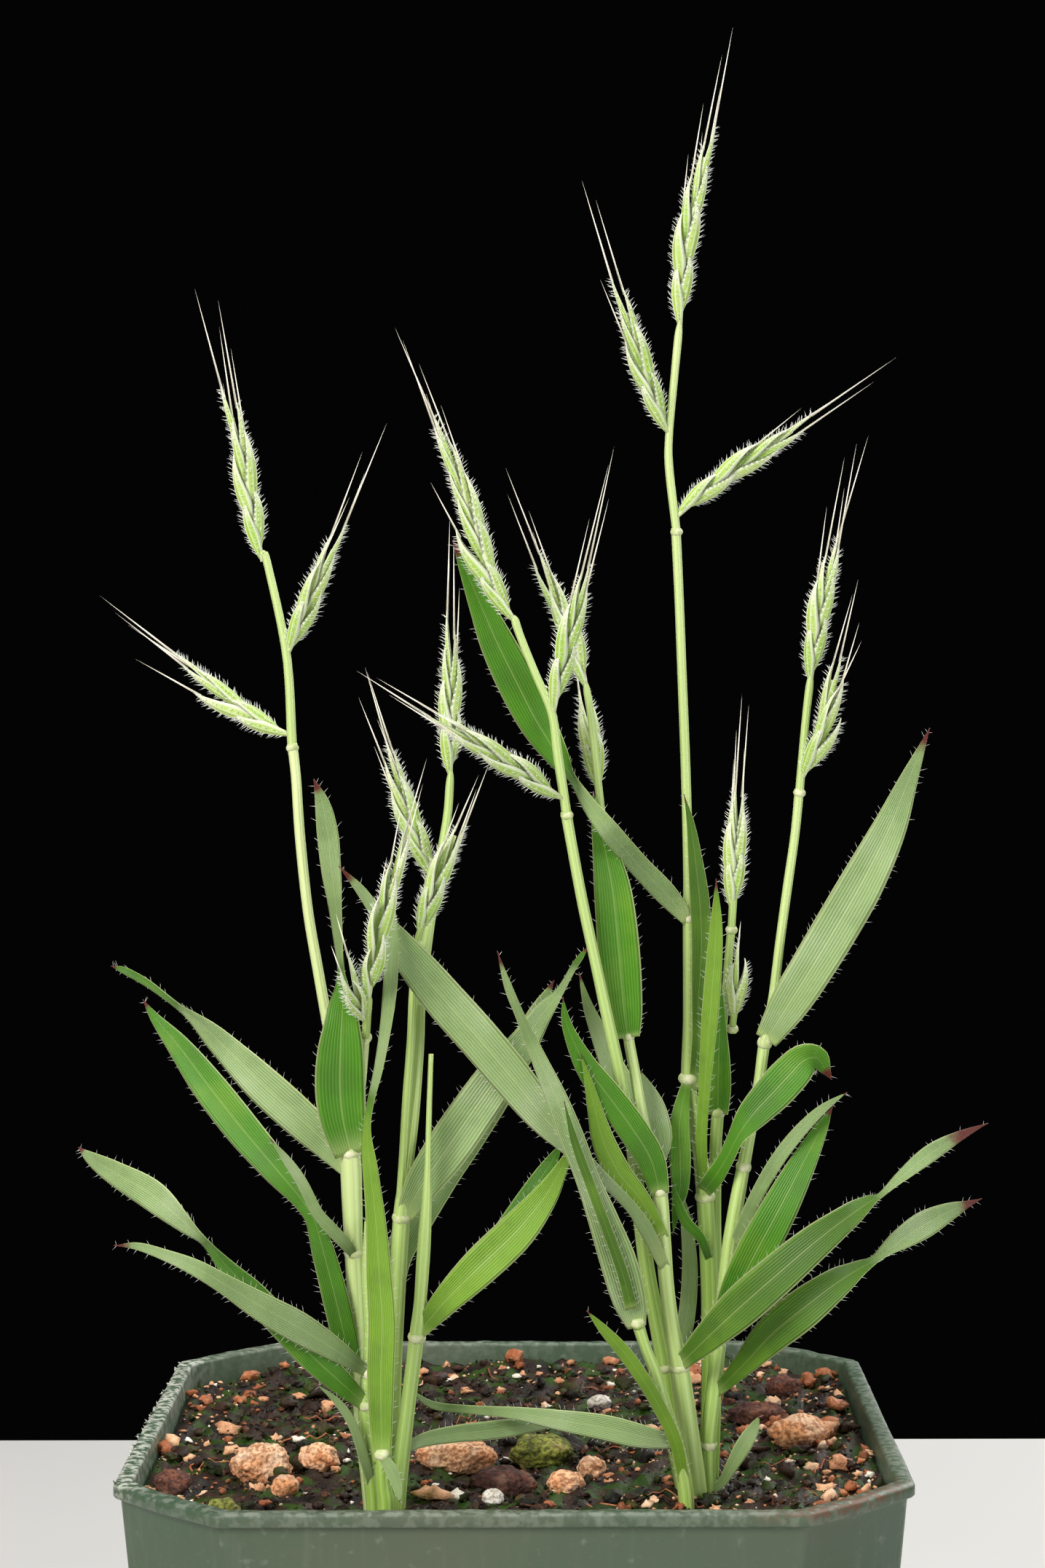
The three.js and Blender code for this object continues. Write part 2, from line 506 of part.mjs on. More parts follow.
        [41.4, 139.3, -26, 3], [42.4, 137.9, -25, 1.6], [43.4, 136.3, -24.6, 0]],
      [[25.8, 121, -23.2, 1.4], [25.5, 128, -24.4, 1.5], [25.9, 134.5, -25, 1.5], [26.3, 140, -25, 1.9],
        [26.8, 146, -25, 2.2], [27.3, 152.4, -24.6, 2.1], [27.6, 158, -24.2, 1.5], [27.6, 164, -24, 0]],
    ],
  },
  right_short_stem: {
    colour: 0x7fa845,
    rods: [[[27, 80.3, -19.4, 1.6], [27.3, 92, -19.5, 1.7], [27.4, 105, -19.6, 1.8], [27.3, 118, -19.6, 1.8],
      [27.5, 127, -19.6, 1.6], [27.8, 132, -19.6, 1.6], [28.2, 139, -19.6, 1.1], [28.8, 147, -19.6, 1.1],
      [29.3, 153, -19.6, 1.1], [29.7, 157.3, -19.6, 1.1]]],
    collars: [[0, 0.555, 2.1]],
    blades: [
      [[27.8, 131.6, -20, 2.6], [27.8, 135, -21.2, 3.4], [27.9, 139, -21.6, 3], [28, 143.5, -21.6, 1.9],
        [28, 148, -21.6, 1], [27.9, 152, -21.6, 0]],
    ],
  },
  right_leaning_stem: {
    colour: 0x8fb552,
    rods: [[[26.4, 79.5, -27.4, 2], [26.4, 86, -27.4, 2], [27.2, 93.5, -27.2, 2], [27.9, 100, -27, 1.9],
      [28.6, 107, -26.8, 1.9], [29.3, 113, -26.4, 1.9], [30.3, 119, -26, 1.9], [31.3, 124.4, -25.6, 1.7],
      [32.2, 129, -25.2, 1.5], [33.4, 135.6, -24.6, 1.4], [34.2, 141.4, -24, 1.5], [35.3, 147, -23.4, 1.25],
      [36.3, 155, -22.8, 1.2], [37.4, 163, -22.2, 1.2], [38.4, 170, -21.8, 1.15], [39, 176.2, -21.5, 1.2]]],
    collars: [[0, 0.067, 2.5], [0, 0.467, 2.2], [0, 0.667, 2.1]],
    blades: [
      [[34.4, 141.8, -24.4, 3], [37.6, 146.8, -26, 5], [41, 152.2, -26.4, 5.6], [44.5, 158, -26, 5.8],
        [47.7, 163.6, -25, 5.6], [51.2, 170.6, -23, 4.4], [53.9, 177.4, -21, 2.4], [56.8, 184.5, -19, 0]],
      [[27.4, 93.2, -27.7, 1.4], [31.4, 97.2, -30, 2.9], [35, 101.1, -32, 4.6], [39.2, 104.6, -33.5, 5.1],
        [43.6, 108, -33.5, 4], [47, 110.2, -32.5, 2.6, 35], [49.6, 111.6, -31.5, 2.2, 62],
        [52.8, 114.1, -29.5, 2.9, 20], [56, 116.3, -27.5, 3.4], [59.2, 118, -25.5, 2.4],
        [61.6, 119, -24, 1.1], [63.9, 119.9, -23, 0]],
      [[28.2, 102.5, -27.5, 2.6], [30.2, 107, -29, 4.2], [33, 112.6, -30, 5], [36, 118.2, -30, 4.7],
        [39, 124, -29, 3.6], [41.6, 129, -27.5, 2], [43.5, 132.6, -26.5, 0]],
      [[29.9, 113.6, -26.9, 1.2], [32.4, 119, -28.4, 1.7], [35.4, 124.5, -28.8, 1.8], [38.6, 128.8, -28.8, 1.7],
        [42, 132.2, -28.4, 1.2], [45.5, 134.6, -28, 0]],
      [[26.7, 79.6, -27.9, 1.2], [28.3, 80.8, -28.6, 1.2], [29.6, 83, -29.4, 1.6], [31.2, 85.8, -29.8, 2.1],
        [32.6, 88.2, -29.6, 1.5], [33.4, 90, -29.4, 0]],
    ],
  },
};

// Flower heads. Each stands just above the cut top of its own stem.
const HEADS = {
  left_tall_head: {
    rods: [[[-30.35, 183.3, -31.4, 1.2], [-31, 194.8, -31, 1.1], [-33.5, 207, -30.5, 1], [-34.3, 209, -30.4, 1]]],
    spikelets: [
      { rows: [[-34.2, 207.5, -30.5], [-35.3, 213, -30], [-36.5, 220, -29.5], [-38.3, 227, -29],
        [-39.9, 233, -28.6]], scales: 6, awn: 12 },
      { rows: [[-30.8, 195, -31], [-29.5, 198, -31.6], [-27, 204, -32.4], [-24.5, 209, -33.2],
        [-22, 214.5, -34]], scales: 5, awn: 11 },
      { rows: [[-30.6, 183.8, -31.4], [-35, 186, -30.4], [-39, 189, -29.2], [-43.5, 191.7, -28],
        [-48, 194.5, -27]], scales: 5, awn: 11 },
    ],
  },
  left_middle_head: {
    rods: [[[-10.84, 163.3, -29.7, 1.2], [-9.2, 172, -29.2, 1.1], [-8.6, 179, -28.8, 1]]],
    spikelets: [
      { rows: [[-8.7, 178, -28.8], [-8.6, 185, -28.4], [-8.6, 193, -28], [-8.5, 202, -27.6]],
        scales: 6, awn: 11 },
      { rows: [[-11, 164, -29.8], [-12.6, 168, -30.6], [-14.3, 173, -31.4], [-15.6, 179, -32],
        [-16.6, 186, -32.4]], scales: 6, awn: 9 },
    ],
  },
  left_small_head: {
    rods: [],
    spikelets: [
      { rows: [[-13.1, 156.2, -32.6], [-11.8, 160, -33.4], [-9.8, 165, -33.6], [-8.2, 170, -33.4],
        [-7.4, 173, -33.2]], scales: 5, awn: 7 },
    ],
  },
  left_leaning_head: {
    rods: [[[-20.4, 143.1, -35.9, 1.1], [-20.2, 145.5, -38, 1], [-20, 148, -40.6, 1]]],
    spikelets: [
      { rows: [[-20.1, 147, -39.8], [-19.4, 151.5, -42.4], [-18.4, 156.5, -43.4], [-16.9, 162, -43.8],
        [-15.2, 167, -44], [-13.6, 171.5, -44.2]], scales: 6, awn: 7, turn: 20 },
      { rows: [[-20.4, 144.4, -36.9], [-21, 146, -38.6], [-21.5, 149, -39.8], [-21.9, 154, -40.2]],
        scales: 3, awn: 6 },
    ],
  },
  centre_head: {
    rods: [[[7.05, 173.9, -34.1, 1.2], [6, 181, -34.2, 1.2], [5.2, 186.7, -34.3, 1.1], [3, 192, -34.4, 1],
      [1, 197, -34.5, 1], [0, 200, -34.6, 1]]],
    spikelets: [
      { rows: [[0.3, 199, -34.6], [-2.5, 204, -34.8], [-4.5, 210, -35], [-7, 217, -35], [-9, 221, -35],
        [-11, 226, -35]], scales: 8, awn: 11 },
      { rows: [[5.4, 186.6, -34.4], [6.5, 192, -35.2], [7.7, 197, -36], [8.8, 203, -36.6], [9.7, 208.5, -37]],
        scales: 5, awn: 13 },
      { rows: [[6.6, 175, -34.4], [3, 177.5, -36.4], [-1, 180, -38.4], [-5, 182.5, -40], [-9, 184.5, -41.4],
        [-13, 186.6, -42.4]], scales: 6, awn: 9 },
    ],
  },
  centre_back_head: {
    rods: [[[11.88, 173.7, -26.8, 1], [11.3, 179, -26.8, 1], [10.6, 186, -26.8, 1], [9.8, 191, -26.6, 0.9]]],
    spikelets: [
      { rows: [[11.7, 176, -26.4], [10.9, 181, -25.4], [10, 186, -24.8], [9.2, 191, -24.4]], scales: 5, awn: 4 },
      { rows: [[10, 190, -26.6], [8.5, 195, -26.6], [6.5, 200, -26.6], [5, 205, -26.4], [3.5, 209.5, -26.2]],
        scales: 5, awn: 9 },
    ],
  },
  right_tallest_head: {
    rods: [[[22.15, 212.5, -18, 1.1], [21.3, 220, -17.6, 1.1], [21.3, 224.4, -17.4, 1], [22, 232, -17, 1],
      [22.8, 240, -16.6, 1]]],
    spikelets: [
      { rows: [[22.8, 239, -16.6], [23.1, 244, -16.4], [23.8, 250, -16.2], [25, 256, -16], [26.3, 262, -15.8],
        [27.5, 267.5, -15.6]], scales: 7, awn: 11 },
      { rows: [[21.2, 224.7, -17.5], [19.5, 229, -18.4], [17.5, 235, -19.4], [15.5, 241, -20.4],
        [13.2, 248, -21.4]], scales: 6, awn: 11 },
      { rows: [[22.2, 213.3, -18], [26, 216.5, -17.4], [30, 219.3, -16.6], [34, 222, -15.6], [38, 225, -14.6],
        [42, 227.6, -13.6]], scales: 6, awn: 11 },
    ],
  },
  right_leaning_head: {
    rods: [[[39.1, 176.9, -21.5, 1.1], [39.8, 185, -21.2, 1], [40.6, 192, -21, 1]]],
    spikelets: [
      { rows: [[40.5, 190.5, -21], [41.2, 196, -20.8], [42.2, 201, -20.6], [44, 206, -20.4], [46, 211.5, -20.2]],
        scales: 6, awn: 13 },
      { rows: [[39.3, 177.6, -21.6], [41, 181, -22.6], [42.3, 186, -23.4], [43.6, 191, -24], [44.8, 196.5, -24.4]],
        scales: 5, awn: 9 },
    ],
  },
  right_short_head: {
    rods: [[[29.76, 158.1, -19.6, 1], [30.1, 164, -19.4, 1]]],
    spikelets: [
      { rows: [[29.8, 159.5, -19.6], [30.1, 165, -19.4], [30.4, 171, -19.2], [30.7, 179, -19]],
        scales: 6, awn: 10 },
    ],
  },
  right_small_head: {
    rods: [],
    spikelets: [
      { rows: [[29.9, 144.4, -20.6], [30.2, 147, -20.9], [30.7, 150, -21]], scales: 2, awn: 1.5 },
    ],
  },
};

// Loose lumps in the top of the soil: place, half sizes, turn and colour
const LUMPS = {
  clay_lump_front: { at: [-33.4, -16.5], half: [4.3, 3.6, 3.2], turn: 10, colour: 0xc58a5c },
  clay_lump_long: { at: [-26.2, -14.5], half: [3.2, 2.2, 2], turn: -35, colour: 0xb8763f },
  clay_lump_small: { at: [-29.6, -27.2], half: [2.1, 1.8, 1.6], turn: 50, colour: 0xa9713f },
  clay_slab: { at: [-8, -15.8], half: [5.6, 3.2, 2.6], turn: -8, colour: 0xc69065 },
  mossy_lump: { at: [3.4, -10.5], half: [4.4, 4, 2.7], turn: 25, colour: 0x7f8a3a },
  clay_lump_middle: { at: [10, -17.6], half: [2, 1.9, 2], turn: 0, colour: 0xbb6d3e },
  clay_lump_low: { at: [6.6, -27.5], half: [2.6, 2, 1.9], turn: 15, colour: 0xb97e5b },
  bark_chip: { at: [-1.6, -26.6], half: [4.6, 3, 2.2], turn: -20, colour: 0x5b3a2e },
  perlite_front: { at: [-2.6, -34.6], half: [1.5, 1.3, 1.2], turn: 0, colour: 0xd9d3c6 },
  perlite_back: { at: [11.8, 20.3], half: [1.9, 1.4, 1.2], turn: 30, colour: 0xe2ddd4 },
  clay_lump_right: { at: [38.6, -2], half: [4.4, 3, 2.4], turn: 12, colour: 0xc79a78 },
  bark_chip_right: { at: [34, 9.6], half: [4.6, 2.4, 1.9], turn: -15, colour: 0xb0704c },
  bark_chip_back: { at: [39, 30], half: [3, 2.4, 2], turn: 40, colour: 0xa05d42 },
  mossy_lump_left: { at: [-36.4, -40], half: [2.4, 1.8, 1.8], turn: 0, colour: 0xb4ad62 },
  bark_chip_left: { at: [-44.2, -27], half: [2.4, 3.2, 1.8], turn: 30, colour: 0x94573f },
  clay_lump_back: { at: [-20, 28], half: [3.2, 2.6, 2.2], turn: -30, colour: 0xb27a52 },
};

const COLOURS = { pot: 0x56664f, soil: 0x3b2e26, head: 0xb9c88b };

function material(colour, roughness) {
  return new THREE.MeshStandardMaterial({ color: colour, roughness, metalness: 0 });
}

// The pot's outline at a height: a square with softly bowed corner faces
function outline(half, corner) {
  const bow = POT.cornerBow;
  const points = [];
  for (let quarter = 0; quarter < 4; quarter += 1) {
    const turn = (quarter * Math.PI) / 2;
    const ends = [[half, half - corner], [half - corner, half]];
    const middle = half - corner / 2 + bow / Math.SQRT2;
    for (const [x, y] of [ends[0], [middle, middle], ends[1]]) {
      points.push([x * Math.cos(turn) - y * Math.sin(turn), x * Math.sin(turn) + y * Math.cos(turn)]);
    }
  }
  return points;
}

function potHalf(height) {
  return POT.width / 2 - POT.lipReach - (POT.height - height) * POT.taper;
}

function potRing(half, height) {
  const corner = (POT.corner * half) / (POT.width / 2);
  return outline(half, corner).map(([x, y]) => new THREE.Vector3(x, y, height));
}

function makePot() {
  const lipFoot = POT.height - POT.lipHeight;
  const inner = (height) => potHalf(height) - POT.wall;
  const skin = bridge([
    potRing(potHalf(0), 0),
    potRing(potHalf(lipFoot), lipFoot),
    potRing(POT.width / 2, lipFoot + POT.lipEase),
    potRing(POT.width / 2, POT.height - POT.lipEase),
    potRing(POT.width / 2 - POT.rimEase, POT.height),
    potRing(inner(POT.height), POT.height),
    potRing(inner(POT.floor), POT.floor),
  ]);
  let solid = toSolid(facingOut(skin));
  for (const [x, y] of [[1, 0], [0, 1], [-1, 0], [0, -1]]) {
    const drill = new THREE.CylinderGeometry(POT.drainRadius, POT.drainRadius, POT.floor * 3, POT.drainSides);
    drill.rotateX(Math.PI / 2);
    drill.translate(x * POT.drainReach, y * POT.drainReach, 0);
    solid = solid.subtract(toSolid(drill));
  }
  return solid;
}

// The soil's top: long rolls crossed by shorter ones and by grit
function soilTop(x, y) {
  const long = Math.sin(x * 0.19 + 1.3) * Math.cos(y * 0.16 - 0.4);
  const short = Math.sin(x * 0.43 - y * 0.37);
  const grit = Math.sin(x * 1.31 + y * 0.77) * Math.cos(y * 1.13 - x * 0.51);
  const relief = (SOIL.roll * long + SOIL.shortRoll * short + SOIL.grit * grit) * SOIL.relief;
  const edge = Math.max(Math.abs(x), Math.abs(y)) / potHalf(POT.height);
  const shore = Math.max(edge - SOIL.shore, 0) * SOIL.climb;
  return POT.height - SOIL.depth + relief + shore * (1 - SOIL.climbGrit + SOIL.climbGrit * grit);
}

// Evenly counted places round the soil's edge at a height
function soilEdge(height) {
  const ring = potRing(potHalf(height) - POT.wall - SOIL.clearance, height);
  const places = [];
  for (let k = 0; k < SOIL.spokes; k += 1) {
    const place = (k / SOIL.spokes) * ring.length;
    const i = Math.floor(place);
    places.push(ring[i].clone().lerp(ring[(i + 1) % ring.length], place - i));
  }
  return places;
}

function makeSoil() {
  const shore = soilEdge(POT.height - SOIL.depth - SOIL.relief);
  const rings = [soilEdge(POT.floor + SOIL.clearance)];
  for (let r = SOIL.rings; r > 0; r -= 1) {
    const share = (r / SOIL.rings) ** SOIL.ringSpread;
    rings.push(shore.map((point) => {
      const x = point.x * share;
      const y = point.y * share;
      return new THREE.Vector3(x, y, soilTop(x, y));
    }));
  }
  rings.push([new THREE.Vector3(0, 0, soilTop(0, 0))]);
  return toSolid(facingOut(bridge(rings)));
}

// A rough lump, cut from a faceted ball
function lumpShape(lump, seed, extra) {
  const draw = seeded(seed);
  const ball = mergeVertices(bareBall(lump.half[0] > LUMP.fineFrom ? 1 : 0));
  const place = ball.attributes.position;
  for (let k = 0; k < place.count; k += 1) {
    const swell = LUMP.least + LUMP.spread * draw();
    place.setXYZ(
      k,
      place.getX(k) * (lump.half[0] * swell + extra),
      place.getY(k) * (lump.half[1] * swell + extra),
      place.getZ(k) * (lump.half[2] * swell + extra),
    );
  }
  const [x, y] = lump.at;
  ball.rotateZ(THREE.MathUtils.degToRad(lump.turn));
  ball.translate(x, y, soilTop(x, y) + lump.half[2] * LUMP.rise);
  return toSolid(ball);
}

function bareBall(detail) {
  const ball = new THREE.IcosahedronGeometry(1, detail);
  ball.deleteAttribute('normal');
  ball.deleteAttribute('uv');
  return ball;
}

// A stem's lowest point goes straight down into the soil
function rooted(rods) {
  const [first, ...rest] = rods;
  const [across, up, depth, thickness] = first[0];
  const foot = seen(across, up, depth);
  const drop = foot.z - (soilTop(foot.x, foot.y) - SOIL.stemRoot);
  const reach = (depth - STANDPOINT.y) / -STANDPOINT.y;
  const root = [across, up - drop / reach, depth, thickness * GRASS.rootTaper];
  return [[root, ...first], ...rest];
}

function makeStem(stem) {
  const rods = rooted(stem.rods);
  const pieces = rods.map((rows) => rod(rows, GRASS.stemSides, GRASS.stepLength * 1.5));
  for (const [which, t, thickness] of stem.collars) pieces.push(collar(stem.rods[which], t, thickness));
  for (const rows of stem.blades) pieces.push(blade(rows));
  return joinAll(pieces);
}

// The room that a stem's root needs in the soil: a plain hole, open at the top
function rootRoom(stem) {
  const [across, up, depth, thickness] = stem.rods[0][0];
  const foot = seen(across, up, depth);
  const radius = thickness * 0.55 + SOIL.stemRoom;
  const below = SOIL.stemRoot + 1;
  const above = 12;
  const drill = new THREE.CylinderGeometry(radius, radius, below + above, 8);
  drill.rotateX(Math.PI / 2);
  drill.translate(foot.x, foot.y, soilTop(foot.x, foot.y) + (above - below) / 2);
  return toSolid(drill);
}

function makeHead(head) {
  const pieces = head.rods.map((rows) => rod(rows, HEAD.stalkSides, GRASS.stepLength * 2));
  for (const entry of head.spikelets) pieces.push(spikelet(entry));
  return joinAll(pieces);
}

const group = new THREE.Group();

function place(name, solid, finish) {
  const mesh = new THREE.Mesh(fromSolid(solid), finish);
  mesh.name = name;
  group.add(mesh);
}

let soil = makeSoil();
for (const stem of Object.values(STEMS)) soil = soil.subtract(rootRoom(stem));
Object.entries(LUMPS).forEach(([name, lump], index) => {
  soil = soil.subtract(lumpShape(lump, index + 1, SOIL.clearance));
  place(name, lumpShape(lump, index + 1, 0), material(lump.colour, 0.95));
});
place('pot', makePot(), material(COLOURS.pot, 0.6));
place('soil', soil, material(COLOURS.soil, 1));
for (const [name, stem] of Object.entries(STEMS)) place(name, makeStem(stem), material(stem.colour, 0.55));
for (const [name, head] of Object.entries(HEADS)) place(name, makeHead(head), material(COLOURS.head, 0.7));

export default group;
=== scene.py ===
"""A pot of false brome: fine leaves, hairy flower heads, peat, clay and a worn green pot.

The places of the stems, blades and heads are the ones that the solid model uses. They are
read in the plant's front view, in millimetres on the upright plane through the pot's middle,
with a depth that carries each along its line of sight.
"""

import logging
import math
import random
from dataclasses import dataclass, field
from enum import Enum
from functools import cache

import bmesh
import bpy
from mathutils import Matrix, Vector, kdtree, noise


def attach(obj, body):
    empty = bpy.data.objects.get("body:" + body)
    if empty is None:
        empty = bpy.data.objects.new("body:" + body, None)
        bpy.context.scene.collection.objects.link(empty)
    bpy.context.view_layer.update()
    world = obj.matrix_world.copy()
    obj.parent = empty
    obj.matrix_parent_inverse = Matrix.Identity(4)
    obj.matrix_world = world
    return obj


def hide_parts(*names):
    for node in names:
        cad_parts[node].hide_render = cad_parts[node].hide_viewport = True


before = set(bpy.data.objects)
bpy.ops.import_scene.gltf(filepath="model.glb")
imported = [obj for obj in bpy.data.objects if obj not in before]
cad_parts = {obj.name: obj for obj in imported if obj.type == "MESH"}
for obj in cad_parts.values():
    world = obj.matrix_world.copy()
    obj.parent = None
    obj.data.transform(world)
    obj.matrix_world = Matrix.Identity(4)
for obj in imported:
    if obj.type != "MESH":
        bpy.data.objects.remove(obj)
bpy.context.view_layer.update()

LOG = logging.getLogger("false_brome")
MM = 0.001
STANDPOINT = Vector((4.3, -428.5, 190.0))
POT_WIDTH = 101.6
POT_HEIGHT = 90.0
POT_LIP_REACH = 0.7
STEM_SEED = 100
HEAD_SEED = 200
CRUMB_SEED = 7
ROOTLET_SEED = 8
Row = list[float]
Rows = list[Row]
Ring = list[Vector]
Face = tuple[int, ...]
Look = tuple[float, float, float]
Spot = tuple[float, float]
Colour = tuple[float, float, float]
Socket = bpy.types.NodeSocket
Material = bpy.types.Material
Piece = bpy.types.Object
Draw = random.Random


class Tone(Enum):
    """How green or how grey with bloom a blade looks on the face that the front view shows."""

    BRIGHT = 0.0
    GREEN = 0.35
    DULL = 0.65
    BLOOM = 1.0


@dataclass(frozen=True)
class Size:
    """Small sizes of the living parts, in millimetres, and shares of such sizes."""

    blade_step: float = 0.9
    blade_thickness: float = 0.24
    blade_thinning: float = 0.85
    blade_margin: float = 0.02
    blade_least: float = 0.12
    blade_end: float = 0.998
    blade_columns: int = 9
    blade_least_steps: int = 8
    twist_turn: float = 45.0
    twist_sharpness: float = 12.0
    blade_gutter: float = 0.22
    gutter_curve: float = 1.4
    gutter_middle: float = 0.4
    midrib: float = 0.12
    midrib_spread: float = 0.12
    ripple: float = 0.05
    ripple_length: float = 3.1
    stem_sides: int = 14
    stem_step: float = 1.4
    stem_rib: float = 0.035
    stem_pale_from: float = 100.0
    stem_pale_over: float = 200.0
    stem_root: float = 5.0
    stem_root_slimness: float = 0.8
    hair: float = 1.0
    hair_thickness: float = 0.06
    hair_chance: float = 0.95
    hair_chance_loss: float = 0.6
    hairless_foot: float = 0.02
    bristle: float = 1.0
    bristle_thickness: float = 0.11
    lemma: float = 10.4
    lemma_width: float = 2.7
    lemma_keel: float = 1.85
    lemma_thickness: float = 0.14
    lemma_rib: float = 0.035
    lemma_ribs: float = 12.5
    lemma_steps: int = 14
    lemma_columns: int = 9
    awn_thickness: float = 0.36
    awn_foot: float = 1.2
    collar_rise: float = 0.7
    collar_swell: float = 0.88
    collar_wave: float = 0.03
    collar_tilt: float = 0.2
    joint_rise: float = 0.45
    joint_thickness: float = 1.55
    stalk_foot: float = 1.3
    stalk_thickness: float = 0.9
    stalk_step: float = 1.0


SIZE = Size()
RING_SECTION = ((-1.0, 0.8), (-0.5, 1.0), (0.0, 1.06), (0.5, 0.96), (0.9, 0.78))


def clamp(number: float) -> float:
    """Keep a number between 0 and 1."""
    return min(max(number, 0.0), 1.0)


def put(name: str, data: bpy.types.ID) -> Piece:
    """Put a new object in the scene.

    Args:
        name: The object's name.
        data: Its mesh, light or camera.

    Returns:
        The object.
    """
    holder = bpy.data.objects.new(name, data)
    bpy.context.scene.collection.objects.link(holder)
    return holder


def spun(x: float, y: float, turn: float, middle: Spot = (0.0, 0.0)) -> Spot:
    """Turn a place about an upright axis, from which it is measured, and say where it then is."""
    cosine, sine = math.cos(turn), math.sin(turn)
    return middle[0] + x * cosine - y * sine, middle[1] + x * sine + y * cosine


def between(first: Vector, second: Vector, turn: float) -> Vector:
    """Give the direction at a turn, in radians, from one direction towards another."""
    return first * math.cos(turn) + second * math.sin(turn)


@cache
def ball(detail: int) -> tuple[list[Vector], list[Face]]:
    """Split a ball of radius 1 into triangles.

    Args:
        detail: How many times it is split.

    Returns:
        Its points and its faces.
    """
    form = bmesh.new()
    bmesh.ops.create_icosphere(form, subdivisions=detail, radius=1.0)
    form.verts.index_update()
    points = [vertex.co.copy() for vertex in form.verts]
    faces = [tuple(vertex.index for vertex in face.verts) for face in form.faces]
    form.free()
    return points, faces


def spread(depth: float) -> float:
    """Give how many times further apart lines of sight are at a depth than on the front plane."""
    return (depth - STANDPOINT.y) / -STANDPOINT.y


def seen(across: float, up: float, depth: float) -> Vector:
    """Give the place whose line of sight passes a spot of the front view.

    Args:
        across: Millimetres to the right on the upright plane through the pot's middle.
        up: Height on that plane.
        depth: The place's own depth, away from the viewer.

    Returns:
        The place in millimetres.
    """
    return STANDPOINT + (Vector((across, 0.0, up)) - STANDPOINT) * spread(depth)


def smooth(rows: Rows, t: float, column: int) -> float:
    """Read a column of rows along a smooth curve through its entries.

    Args:
        rows: The rows, which may be short of trailing zeros.
        t: Share of the way from the first row to the last.
        column: Which number of a row to read.

    Returns:
        The number there.
    """
    last = len(rows) - 1
    place = clamp(t) * last
    i = min(int(place), last - 1)
    f = place - i
    near = [rows[min(max(n, 0), last)] for n in (i - 1, i, i + 1, i + 2)]
    a, b, c, d = (row[column] if column < len(row) else 0.0 for row in near)
    bend = (c - a) * f + (2 * a - 5 * b + 4 * c - d) * f * f + (3 * b - 3 * c + d - a) * f**3
    return b + bend / 2


@dataclass
class Path:
    """A smooth way through rows of across, up and depth."""

    rows: Rows
    measuring_steps: int = 24
    glance: float = 0.01

    def at(self, t: float) -> Vector:
        """Give the place at a share of the way."""
        return seen(*(smooth(self.rows, t, column) for column in range(3)))

    def length(self) -> float:
        """Measure the way.

        Returns:
            Its length in millimetres.
        """
        steps = self.measuring_steps
        places = [self.at(i / steps) for i in range(steps + 1)]
        return sum((b - a).length for a, b in zip(places, places[1:]))

    def axes(self, t: float) -> tuple[Vector, Vector, Vector]:
        """Find the three directions of the way at a share of it.

        Args:
            t: The share of the way.

        Returns:
            The directions along the way, to its side and away from the viewer.
        """
        ahead, behind = self.at(min(t + self.glance, 1.0)), self.at(max(t - self.glance, 0.0))
        along = (ahead - behind).normalized()
        sight = (self.at(t) - STANDPOINT).normalized()
        side = along.cross(sight).normalized()
        return along, side, side.cross(along).normalized()

    def turned(self, t: float) -> tuple[Vector, Vector, Vector]:
        """Find the three directions of a blade, turned about its way as its rows say.

        Args:
            t: The share of the way.

        Returns:
            The directions along the blade, across it and through it.
        """
        along, side, face = self.axes(t)
        turn = math.radians(smooth(self.rows, t, 4))
        return along, between(side, face, turn), between(face, -side, turn)

    def half_width(self, t: float) -> float:
        """Give half a blade's width at a share of the way."""
        return max(smooth(self.rows, t, 3), SIZE.blade_least) / 2


